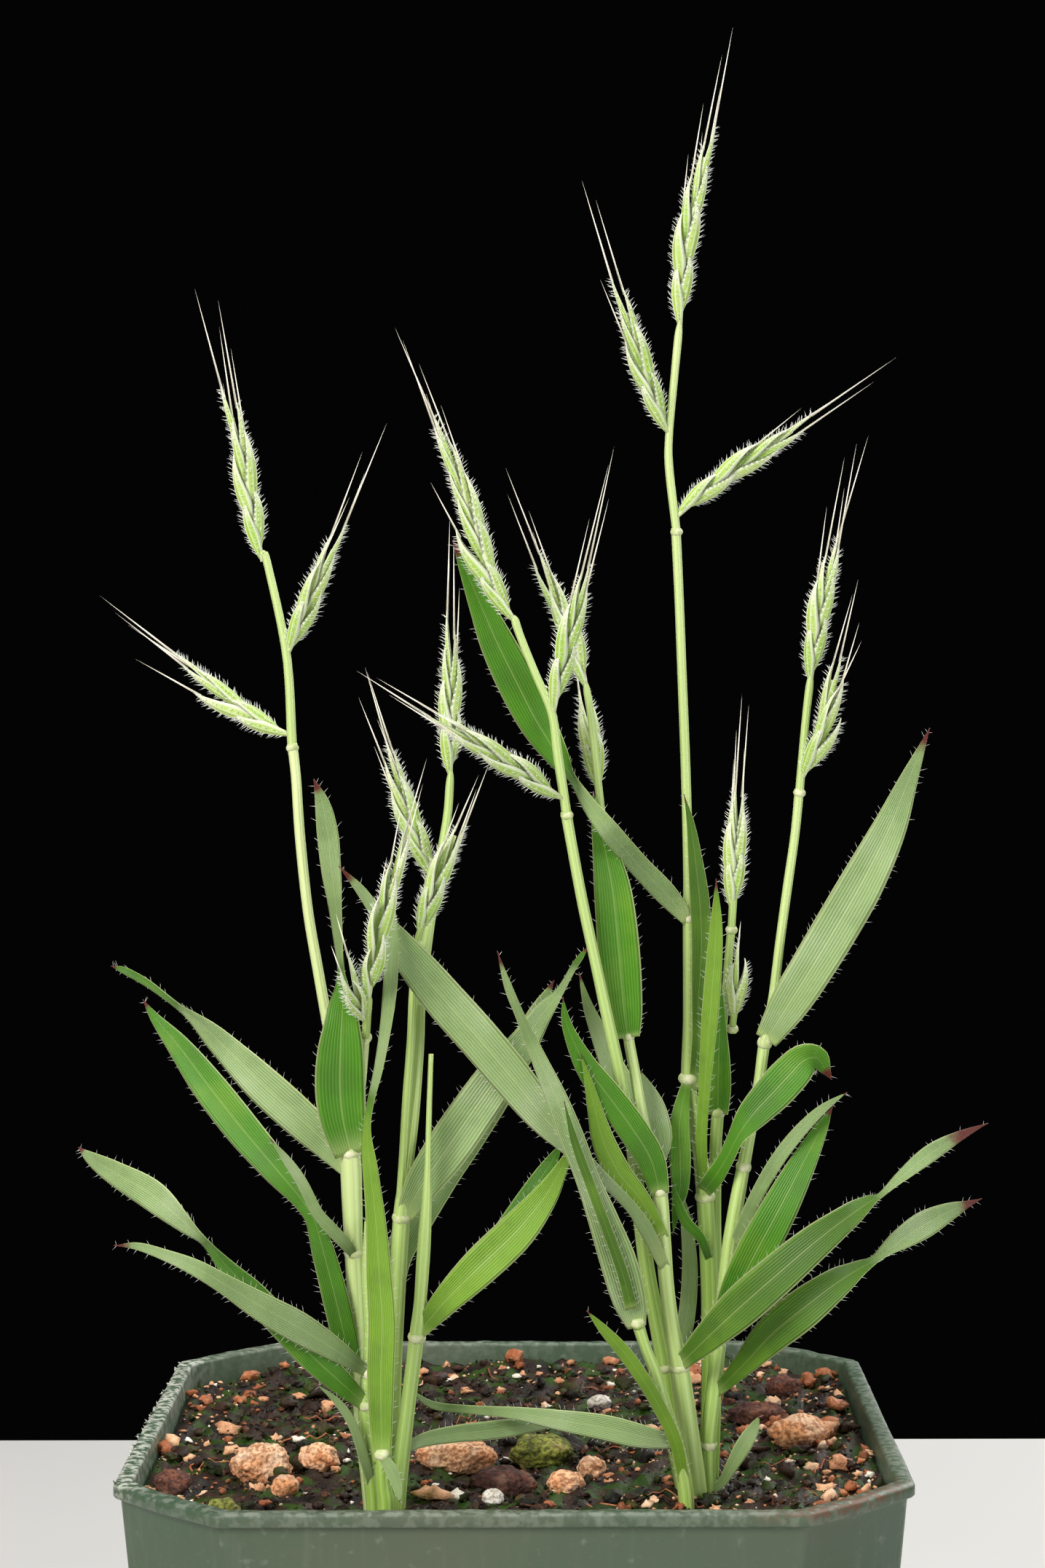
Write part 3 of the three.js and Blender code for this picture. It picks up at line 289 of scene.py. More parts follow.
@dataclass
class Skin:
    """Gathers the vertices, faces and surface facts of one piece before it becomes a mesh.

    Each vertex has a look of three numbers that its material reads: for a blade these are the
    place across it, the share of its length and its tone.
    """

    name: str
    points: list[Vector] = field(default_factory=list)
    faces: list[Face] = field(default_factory=list)
    looks: list[Look] = field(default_factory=list)
    finishes: list[int] = field(default_factory=list)

    def add(self, points: list[Vector], faces: list[Face], look: list[Look], finish: int) -> None:
        """Add a patch of skin.

        Args:
            points: Its vertices, in millimetres.
            faces: Its faces, counted from its own first vertex.
            look: The look of each vertex.
            finish: Which of the piece's finishes it has.
        """
        start = len(self.points)
        self.points.extend(points)
        self.faces.extend(tuple(start + k for k in face) for face in faces)
        self.looks.extend(look)
        self.finishes.extend([finish] * len(faces))

    def tube(self, rings: list[Ring], looks: list[list[Look]], finish: int) -> None:
        """Bridge closed rings of equal length into one skin with both ends closed.

        Args:
            rings: The rings, each in the same turning sense.
            looks: The look of each vertex of each ring.
            finish: Which of the piece's finishes it has.
        """
        sides = len(rings[0])
        faces = []
        for low in range(0, (len(rings) - 1) * sides, sides):
            for k in range(sides):
                after = (k + 1) % sides
                faces.append((low + k, low + after, low + sides + after, low + sides + k))
        faces.append(tuple(reversed(range(sides))))
        faces.append(tuple(range((len(rings) - 1) * sides, len(rings) * sides)))
        self.add([p for ring in rings for p in ring], faces, [q for look in looks for q in look], finish)

    def needle(self, root: Vector, tip: Vector, thickness: float, look: Look, finish: int) -> None:
        """Add a three-sided hair or awn.

        Args:
            root: Where it grows from.
            tip: Where it ends.
            thickness: Its width at the root.
            look: The look of all its vertices.
            finish: Which of the piece's finishes it has.
        """
        along = (tip - root).normalized()
        side = along.orthogonal().normalized()
        other = along.cross(side)
        ring = [
            root + between(side, other, turn) * thickness / 2
            for turn in (0.0, math.tau / 3, 2 * math.tau / 3)
        ]
        self.add([*ring, tip], [(0, 1, 3), (1, 2, 3), (2, 0, 3), (0, 2, 1)], [look] * 4, finish)

    def make(self, finishes: list[Material], slot: str, nodes: list[str]) -> Piece:
        """Turn the gathered skin into a piece of the scene.

        Args:
            finishes: The piece's materials, in the order that its faces name them.
            slot: Not used.
            nodes: The solid model's nodes that the piece stands for.

        Returns:
            The new object.
        """
        mesh = bpy.data.meshes.new(self.name)
        mesh.from_pydata([point * MM for point in self.points], [], self.faces)
        look = mesh.attributes.new("look", "FLOAT_VECTOR", "POINT")
        look.data.foreach_set("vector", [number for entry in self.looks for number in entry])
        for finish in finishes:
            mesh.materials.append(finish)
        mesh.polygons.foreach_set("material_index", self.finishes)
        mesh.polygons.foreach_set("use_smooth", [True] * len(mesh.polygons))
        mesh.update()
        piece = put(self.name, mesh)
        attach(piece, "root")
        if nodes:
            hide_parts(*nodes)
        LOG.info("%s: %d faces", self.name, len(mesh.polygons))
        return piece


class Palette:
    """Mixes one procedural material out of shader nodes."""

    scatter_reach = 0.0012
    scatter_colour = (0.6, 1.0, 0.3)

    def __init__(
        self, name: str, roughness: float, sheen: float = 0.0, depth: float = 0.0, gloss: float = 0.5
    ) -> None:
        """Start a material.

        Args:
            name: The material's name.
            roughness: Roughness of its shader.
            sheen: Weight of a soft bloom over it.
            depth: Weight of the light that passes under its surface.
            gloss: Strength of its highlights.
        """
        self.material = bpy.data.materials.new(name)
        self.material.use_nodes = True
        self.tree = self.material.node_tree
        self.shader = self.tree.nodes["Principled BSDF"]
        self.shader.inputs["Roughness"].default_value = roughness
        self.shader.inputs["Sheen Weight"].default_value = sheen
        self.shader.inputs["Specular IOR Level"].default_value = gloss
        self.shader.inputs["Subsurface Weight"].default_value = depth
        self.shader.inputs["Subsurface Scale"].default_value = self.scatter_reach
        self.shader.inputs["Subsurface Radius"].default_value = self.scatter_colour

    def node(self, kind: str) -> bpy.types.Node:
        """Add a node of a kind."""
        return self.tree.nodes.new(kind)

    def feed(self, socket: Socket, value: Socket | float | Colour) -> None:
        """Link a socket, or set it where the value is plain.

        Args:
            socket: The input to feed.
            value: Another node's output, or a plain number or colour.
        """
        if isinstance(value, bpy.types.NodeSocket):
            self.tree.links.new(value, socket)
        elif isinstance(value, tuple) and len(value) == 3 and socket.type == "RGBA":
            socket.default_value = (*value, 1.0)
        else:
            socket.default_value = value

    def sum(self, operation: str, *values: Socket | float) -> Socket:
        """Work out a number with a Math node.

        Args:
            operation: The name of what the node does.
            *values: What it does that with.

        Returns:
            The result.
        """
        node = self.node("ShaderNodeMath")
        node.operation = operation
        for socket, value in zip(node.inputs, values):
            self.feed(socket, value)
        return node.outputs[0]

    def span(self, value: Socket, low: float, high: float) -> Socket:
        """Turn a stretch of a number into 0 to 1, eased at both ends.

        Args:
            value: The number.
            low: Where 0 is reached.
            high: Where 1 is reached, which may be below the other.

        Returns:
            The eased share.
        """
        node = self.node("ShaderNodeMapRange")
        node.interpolation_type = "SMOOTHSTEP"
        self.feed(node.inputs["Value"], value)
        node.inputs["From Min"].default_value = low
        node.inputs["From Max"].default_value = high
        return node.outputs[0]

    def mix(self, share: Socket | float, first: Socket | Colour, second: Socket | Colour) -> Socket:
        """Mix two colours.

        Args:
            share: The share of the second.
            first: The first colour.
            second: The second colour.

        Returns:
            The mixed colour.
        """
        node = self.node("ShaderNodeMix")
        node.data_type = "RGBA"
        self.feed(node.inputs[0], share)
        self.feed(node.inputs[6], first)
        self.feed(node.inputs[7], second)
        return node.outputs[2]

    def coat(
        self, under: Socket | Colour, over: Socket | Colour, where: Socket, strength: Socket | float
    ) -> Socket:
        """Lay a colour over another one where a share is high, as strongly as is said."""
        return self.mix(self.sum("MULTIPLY", where, strength), under, over)

    def ramp(self, value: Socket, stops: list[tuple[float, Colour]]) -> Socket:
        """Read a colour from a ramp of stops.

        Args:
            value: The place on the ramp.
            stops: The ramp's places and colours, in order.

        Returns:
            The colour there.
        """
        node = self.node("ShaderNodeValToRGB")
        while len(node.color_ramp.elements) < len(stops):
            node.color_ramp.elements.new(1.0)
        for element, (place, colour) in zip(node.color_ramp.elements, stops):
            element.position = place
            element.color = (*colour, 1.0)
        self.feed(node.inputs[0], value)
        return node.outputs[0]

    def look(self) -> tuple[Socket, Socket, Socket]:
        """Read the three numbers that each vertex carries.

        Returns:
            The numbers, each as a socket.
        """
        node = self.node("ShaderNodeAttribute")
        node.attribute_name = "look"
        split = self.node("ShaderNodeSeparateXYZ")
        self.feed(split.inputs[0], node.outputs["Vector"])
        return split.outputs[0], split.outputs[1], split.outputs[2]

    def grain(self, scale: float, detail: float = 4.0, stretch: Colour = (1.0, 1.0, 1.0)) -> Socket:
        """Read noise in the object's own space.

        Args:
            scale: How fine the noise is.
            detail: How many finer layers it has.
            stretch: How much finer it is along each axis.

        Returns:
            The noise, from 0 to 1.
        """
        place = self.node("ShaderNodeTexCoord")
        mapping = self.node("ShaderNodeMapping")
        mapping.inputs["Scale"].default_value = stretch
        texture = self.node("ShaderNodeTexNoise")
        self.feed(mapping.inputs[0], place.outputs["Object"])
        self.feed(texture.inputs["Vector"], mapping.outputs[0])
        texture.inputs["Scale"].default_value = scale
        texture.inputs["Detail"].default_value = detail
        return texture.outputs["Fac"]

    def cells(self, scale: float) -> Socket:
        """Read the distance to the nearest point of a scattered set.

        Args:
            scale: How close together the points are.

        Returns:
            The distance.
        """
        place = self.node("ShaderNodeTexCoord")
        texture = self.node("ShaderNodeTexVoronoi")
        self.feed(texture.inputs["Vector"], place.outputs["Object"])
        texture.inputs["Scale"].default_value = scale
        return texture.outputs["Distance"]

    def relief(self, height: Socket, reach: float, strength: float = 0.6) -> None:
        """Raise the surface's shading by a height.

        Args:
            height: The height, as a share of the reach.
            reach: The full height in metres.
            strength: How much of it shows.
        """
        node = self.node("ShaderNodeBump")
        node.inputs["Strength"].default_value = strength
        node.inputs["Distance"].default_value = reach
        self.feed(node.inputs["Height"], height)
        self.feed(self.shader.inputs["Normal"], node.outputs[0])

    def finish(self, colour: Socket | Colour) -> Material:
        """Set the surface's colour and give the material."""
        self.feed(self.shader.inputs["Base Color"], colour)
        return self.material


@dataclass(frozen=True)
class BladeFinish:
    """Silky ribbed blade, green on one face and grey with bloom on the other."""

    bright: Colour = (0.190, 0.360, 0.026)
    green: Colour = (0.062, 0.225, 0.004)
    dull: Colour = (0.065, 0.160, 0.010)
    bloom: Colour = (0.26, 0.375, 0.155)
    frost: Colour = (0.47, 0.56, 0.36)
    deep: Colour = (0.030, 0.085, 0.010)
    margin: Colour = (0.60, 0.72, 0.26)
    scorched: Colour = (0.13, 0.022, 0.018)
    veins: float = 46.0

    def make(self) -> Material:
        """Build the material; looks are across, along and tone.

        Returns:
            The material.
        """
        palette = Palette("leaf blade", roughness=0.42, sheen=0.04, depth=0.12, gloss=0.3)
        across, along, tone = palette.look()
        shades = {
            Tone.BRIGHT: self.bright, Tone.GREEN: self.green, Tone.DULL: self.dull, Tone.BLOOM: self.bloom
        }
        colour = palette.ramp(tone, [(step.value, shade) for step, shade in shades.items()])
        bloomed = palette.span(tone, Tone.DULL.value, Tone.BLOOM.value)
        patch = palette.grain(105.0, 3.0)
        lit = palette.mix(bloomed, self.bright, self.frost)
        colour = palette.coat(colour, lit, palette.span(patch, 0.5, 0.68), 0.42)
        colour = palette.coat(colour, self.deep, palette.span(patch, 0.48, 0.34), 0.3)
        shade = palette.grain(420.0, 5.0)
        colour = palette.coat(colour, self.dull, palette.span(shade, 0.5, 0.8), 0.25)
        wave = palette.sum("SINE", palette.sum("MULTIPLY", across, self.veins))
        vein = palette.span(wave, -0.2, 1.0)
        lightening = palette.sum("ADD", palette.sum("MULTIPLY", bloomed, 0.25), 0.12)
        lighter = palette.mix(lightening, colour, self.margin)
        colour = palette.coat(colour, lighter, vein, 0.5)
        groove = palette.span(wave, -0.1, -1.0)
        colour = palette.coat(colour, self.deep, groove, 0.24)
        edge = palette.sum("ABSOLUTE", across)
        rib = palette.span(edge, 0.075, 0.02)
        colour = palette.coat(colour, self.margin, rib, 0.16)
        colour = palette.coat(colour, self.margin, palette.span(edge, 0.9, 0.98), 0.8)
        foot = palette.span(along, 0.07, 0.0)
        colour = palette.coat(colour, self.margin, foot, 0.45)
        uneven = palette.sum("ADD", along, palette.sum("MULTIPLY", palette.grain(700.0), 0.03))
        colour = palette.mix(palette.span(uneven, 0.955, 0.98), colour, self.scorched)
        palette.relief(palette.sum("ADD", wave, palette.sum("MULTIPLY", shade, 0.8)), 0.00006, 0.55)
        return palette.finish(colour)


@dataclass(frozen=True)
class SheathFinish:
    """Smooth stem and sheath: pale green, finely lined, paler where it swells."""

    pale: Colour = (0.80, 0.88, 0.47)
    fresh: Colour = (0.26, 0.48, 0.035)
    worn: Colour = (0.50, 0.60, 0.22)
    lines: float = 9.0

    def make(self) -> Material:
        """Build the material; looks are the turn round the stem, height share and tone.

        Returns:
            The material.
        """
        palette = Palette("stem and sheath", roughness=0.45, sheen=0.05, depth=0.1)
        turn, _, tone = palette.look()
        colour = palette.mix(tone, self.fresh, self.pale)
        colour = palette.coat(colour, self.worn, palette.grain(260.0, 4.0), 0.35)
        wave = palette.sum("SINE", palette.sum("MULTIPLY", turn, self.lines * math.tau))
        colour = palette.coat(colour, self.pale, palette.span(wave, 0.0, 1.0), 0.24)
        palette.relief(wave, 0.00005, 0.5)
        return palette.finish(colour)


@dataclass(frozen=True)
class CreamFinish:
    """Papery collar and ligule: cream white with green showing through."""

    cream: Colour = (0.74, 0.76, 0.48)
    tinge: Colour = (0.42, 0.56, 0.16)

    def make(self) -> Material:
        """Build the material, which reads no looks.

        Returns:
            The material.
        """
        palette = Palette("collar", roughness=0.5, depth=0.15)
        speck = palette.grain(900.0, 5.0)
        palette.relief(speck, 0.0001, 0.5)
        return palette.finish(palette.mix(palette.span(speck, 0.35, 0.7), self.cream, self.tinge))


@dataclass(frozen=True)
class ScaleFinish:
    """Scale of a flower head: pale green back with white ribs and edges."""

    back: Colour = (0.34, 0.58, 0.055)
    grey: Colour = (0.48, 0.66, 0.15)
    rib: Colour = (0.94, 0.97, 0.74)
    ribs: float = SIZE.lemma_ribs

    def make(self) -> Material:
        """Build the material; looks are across, along and tone.

        Returns:
            The material.
        """
        palette = Palette("flower scale", roughness=0.5, sheen=0.1, depth=0.15)
        across, along, tone = palette.look()
        colour = palette.mix(tone, self.back, self.grey)
        wave = palette.sum("COSINE", palette.sum("MULTIPLY", across, self.ribs))
        colour = palette.coat(colour, self.rib, palette.span(wave, 0.3, 1.0), 0.36)
        span = palette.sum("ABSOLUTE", across)
        colour = palette.coat(colour, self.rib, palette.span(span, 0.72, 0.95), 0.9)
        colour = palette.coat(colour, self.rib, palette.span(span, 0.16, 0.03), 0.8)
        colour = palette.coat(colour, self.rib, palette.span(along, 0.5, 0.95), 0.85)
        palette.relief(wave, 0.00008, 0.6)
        return palette.finish(colour)


@dataclass(frozen=True)
class PlainFinish:
    """Hairs and awns: one pale colour with faint flecks."""

    name: str
    colour: Colour
    tinge: Colour

    def make(self) -> Material:
        """Build the material; the second look is how much a hair or awn is flecked.

        Returns:
            The material.
        """
        palette = Palette(self.name, roughness=0.45, depth=0.1)
        _, flecked, _ = palette.look()
        flecks = palette.sum("MULTIPLY", palette.grain(500.0, 3.0), flecked)
        return palette.finish(palette.mix(flecks, self.colour, self.tinge))


# The living parts' finishes in the order that their faces name them.
LIVING_FINISHES = [
    BladeFinish(),
    SheathFinish(),
    CreamFinish(),
    PlainFinish("white hair", (0.96, 0.97, 0.93), (0.85, 0.9, 0.7)),
    ScaleFinish(),
    PlainFinish("awn", (0.96, 0.94, 0.80), (0.84, 0.68, 0.50)),
]
BLADE, SHEATH, CREAM, HAIR, SCALE, AWN = range(len(LIVING_FINISHES))
HAIR_LOOK = (0.0, 0.5, 0.0)
BRISTLE_LOOK = (0.0, 0.2, 0.0)


@dataclass(frozen=True)
class Ground:
    """The rolling top of the solid soil, which climbs a little towards the pot's walls."""

    depth: float = 3.4
    relief: float = 1.5
    calm: float = 0.8
    roll: float = 0.45
    short_roll: float = 0.6
    grit: float = 0.4
    shore: float = 0.8
    climb: float = 1.3
    steepness: float = 5.0

    def height(self, x: float, y: float) -> float:
        """Work out the height from the same waves as the solid soil has.

        Args:
            x: The place across, in millimetres.
            y: The place in depth.

        Returns:
            The height in millimetres.
        """
        edge = max(abs(x), abs(y)) / (POT_WIDTH / 2 - POT_LIP_REACH)
        roll = math.sin(x * 0.19 + 1.3) * math.cos(y * 0.16 - 0.4)
        roll += self.short_roll * math.sin(x * 0.43 - y * 0.37)
        grit = self.grit * (math.sin(x * 1.31 + y * 0.77) * math.cos(y * 1.13 - x * 0.51))
        climb = self.climb * max(edge - self.shore, 0.0) * self.steepness
        rolling = self.relief * (self.roll * roll + grit) * self.calm
        return POT_HEIGHT - self.depth + rolling + climb * (1 - self.grit + grit)


GROUND = Ground()


def add_stalk(skin: Skin, rows: Rows, step: float, tone: float) -> None:
    """Add a finely ribbed round stalk along rows of across, up, depth and thickness.

    Args:
        skin: The skin that it becomes part of.
        rows: Its rows.
        step: Millimetres between its rings.
        tone: How pale it is, from 0 to 1.
    """
    path = Path(rows)
    steps = max(4, round(path.length() / step))
    rings, looks = [], []
    for i in range(steps + 1):
        t = i / steps
        _, side, face = path.axes(t)
        centre = path.at(t)
        radius = smooth(rows, t, 3) / 2
        ring, look = [], []
        for k in range(SIZE.stem_sides):
            turn = math.tau * k / SIZE.stem_sides
            swell = radius * (1.0 + SIZE.stem_rib * (-1) ** k)
            ring.append(centre + between(side, face, turn) * swell)
            paleness = clamp(tone + (centre.z - SIZE.stem_pale_from) / SIZE.stem_pale_over)
            look.append((k / SIZE.stem_sides, t, paleness))
        rings.append(ring)
        looks.append(look)
    skin.tube(rings, looks, SHEATH)


def across_columns(count: int) -> list[float]:
    """Give places from one edge of a leaf or scale at -1 to the other at 1."""
    return [2 * k / (count - 1) - 1 for k in range(count)]


def led_down(rows: Rows, reach: float) -> Rows:
    """Lengthen rows at their foot, so that a stalk stands in what carries it.

    Args:
        rows: Rows of across, up, depth and thickness.
        reach: How much longer they become, in millimetres.

    Returns:
        The rows with one more of them before the first.
    """
    first = Vector(rows[0][:3])
    foot = first - (Vector(rows[1][:3]) - first).normalized() * reach
    return [[*foot, *rows[0][3:]], *rows]


def pointed(rows: Rows, share: float, slimness: float) -> Rows:
    """Slim the far end of rows, so that a stalk runs out inside what it carries.

    Args:
        rows: Rows of across, up, depth and thickness.
        share: Which share of the last stretch is slimmed.
        slimness: The thickness at the very end, as a share of the full one.

    Returns:
        The rows with one more of them before the end.
    """
    last, before = Vector(rows[-1][:3]), Vector(rows[-2][:3])
    neck = last.lerp(before, share)
    thickness = rows[-1][3]
    return [*rows[:-1], [*neck, thickness], [*last, thickness * slimness]]


def add_ring(skin: Skin, rows: Rows, t: float, thickness: float, rise: float) -> None:
    """Add a swollen cream ring round a stalk.

    Args:
        skin: The skin that it becomes part of.
        rows: The rows of the stalk that carries it.
        t: Its share of the way along the stalk.
        thickness: Its width.
        rise: Half its height.
    """
    path = Path(rows)
    along, side, face = path.axes(t)
    rings, looks = [], []
    for level, swell in RING_SECTION:
        ring = []
        for k in range(SIZE.stem_sides):
            turn = math.tau * k / SIZE.stem_sides
            reach = thickness / 2 * (swell + SIZE.collar_wave * math.sin(3 * turn + level))
            lift = rise * (level + SIZE.collar_tilt * math.sin(turn))
            ring.append(path.at(t) + along * lift + between(side, face, turn) * reach)
        rings.append(ring)
        looks.append([(0.5, 0.5, 0.0)] * len(ring))
    skin.tube(rings, looks, CREAM)


@dataclass
class LeafyStem:
    """A stem with its sheaths, collars, blades and the fine hairs on their margins."""

    name: str
    tones: list[Tone]
    rods: list[Rows]
    collars: list[tuple[int, float, float]]
    blades: list[Rows]
    scorched: dict[int, float] = field(default_factory=dict)
    paleness: float = 0.0

    def rooted(self) -> list[Rows]:
        """Lead the first rod straight down into the soil, as the solid stem goes.

        Returns:
            The rows of every rod, the first of them with one more row at its foot.
        """
        across, up, depth, thickness = self.rods[0][0]
        foot = seen(across, up, depth)
        drop = foot.z - (GROUND.height(foot.x, foot.y) - SIZE.stem_root)
        root = [across, up - drop / spread(depth), depth, thickness * SIZE.stem_root_slimness]
        return [[root, *self.rods[0]], *self.rods[1:]]

    def add_blade(self, skin: Skin, rows: Rows, tone: Tone, dry: float, draw: Draw) -> None:
        """Add a thin blade, gently folded along its rib, with hairs on both margins.

        Args:
            skin: The skin that it becomes part of.
            rows: Its rows of across, up, depth, width and turn in degrees.
            tone: The tone of the face that is seen from the front.
            dry: How far the scorched tip reaches down, from 0 for a bare touch towards 1.
            draw: The random draw for its hairs.
        """
        path = Path(rows)
        length = path.length()
        steps = max(SIZE.blade_least_steps, round(length / SIZE.blade_step))
        twist = self.twist(rows)
        front, back = tone.value, (Tone.GREEN if tone is Tone.BLOOM else Tone.BLOOM).value
        columns = across_columns(SIZE.blade_columns)
        rings, looks = [], []
        for i in range(steps + 1):
            t = min(i / steps, SIZE.blade_end)
            _, wide, deep = path.turned(t)
            half = path.half_width(t)
            centre = path.at(t)
            swap = clamp((t - twist) * SIZE.twist_sharpness + 0.5)
            near = front + (back - front) * swap
            far = back + (front - back) * swap
            share = 1 - (1 - t) * (1 - dry * t)
            ring, look = [], []
            for level, tint, order in ((-1, near, columns), (1, far, columns[-2:0:-1])):
                for x in order:
                    thick = SIZE.blade_thickness / 2 * (1 - SIZE.blade_thinning * x * x) + SIZE.blade_margin
                    rib = SIZE.midrib * math.exp(-((x / SIZE.midrib_spread) ** 2))
                    thick += rib * min(half, 1.0) * (level > 0)
                    fold = half * SIZE.blade_gutter * (abs(x) ** SIZE.gutter_curve - SIZE.gutter_middle)
                    ripple = SIZE.ripple * half * x * math.sin(t * length / SIZE.ripple_length + 2 * x)
                    ring.append(centre + wide * (x * half) + deep * (level * thick - fold + ripple))
                    look.append((x, share, tint))
            rings.append(ring)
            looks.append(look)
            for sign in (-1, 1):
                if t > SIZE.hairless_foot and draw.random() < SIZE.hair_chance - SIZE.hair_chance_loss * t:
                    self.add_cilium(skin, path, t, sign, draw)
        skin.tube(rings, looks, BLADE)

    def twist(self, rows: Rows) -> float:
        """Find where a blade shows its other face.

        Args:
            rows: The blade's rows.

        Returns:
            The share of the way where it is turned most, or a share beyond its end if it doesn't turn over.
        """
        turns = [row[4] if len(row) > 4 else 0.0 for row in rows]
        most = max(turns)
        return turns.index(most) / (len(rows) - 1) if most >= SIZE.twist_turn else 2.0

    def add_cilium(self, skin: Skin, path: Path, t: float, sign: int, draw: Draw) -> None:
        """Add one fine hair to a blade's margin.

        Args:
            skin: The skin that it becomes part of.
            path: The blade's way.
            t: The hair's share of the way along it.
            sign: Which margin it stands on.
            draw: The random draw for its lean and length.
        """
        place = min(t + draw.random() * 0.012, 0.98)
        along, wide, deep = path.turned(place)
        half = path.half_width(place)
        root = path.at(place) + wide * (sign * half * 0.985) - deep * (half * SIZE.blade_gutter * 0.6)
        lean = wide * sign + along * draw.uniform(0.2, 1.1) + deep * draw.uniform(-0.6, 0.6)
        reach = SIZE.hair * draw.uniform(0.45, 1.0)
        skin.needle(root, root + lean.normalized() * reach, SIZE.hair_thickness, HAIR_LOOK, HAIR)

    def build(self, finishes: list[Material], seed: int) -> Piece:
        """Build the stem as one piece.

        Args:
            finishes: The materials of the living parts.
            seed: The seed of its random draw.

        Returns:
            The piece, which stands for the solid stem of its name.
        """
        draw = random.Random(seed)
        skin = Skin(f"leafy_{self.name}")
        for rows in self.rooted():
            add_stalk(skin, rows, SIZE.stem_step, self.paleness + 0.2 * draw.random())
        for which, t, thickness in self.collars:
            add_ring(skin, self.rods[which], t, thickness * SIZE.collar_swell, SIZE.collar_rise)
        for index, (rows, tone) in enumerate(zip(self.blades, self.tones)):
            self.add_blade(skin, rows, tone, self.scorched.get(index, 0.0), draw)
        return skin.make(finishes, "leaf", [self.name])


@dataclass(frozen=True)
class Seat:
    """Where a scale grows from, the way of the core there and the side that its back faces."""

    root: Vector
    along: Vector
    out: Vector

    def cross(self) -> Vector:
        """Give the way across the scale."""
        return self.along.cross(self.out).normalized()


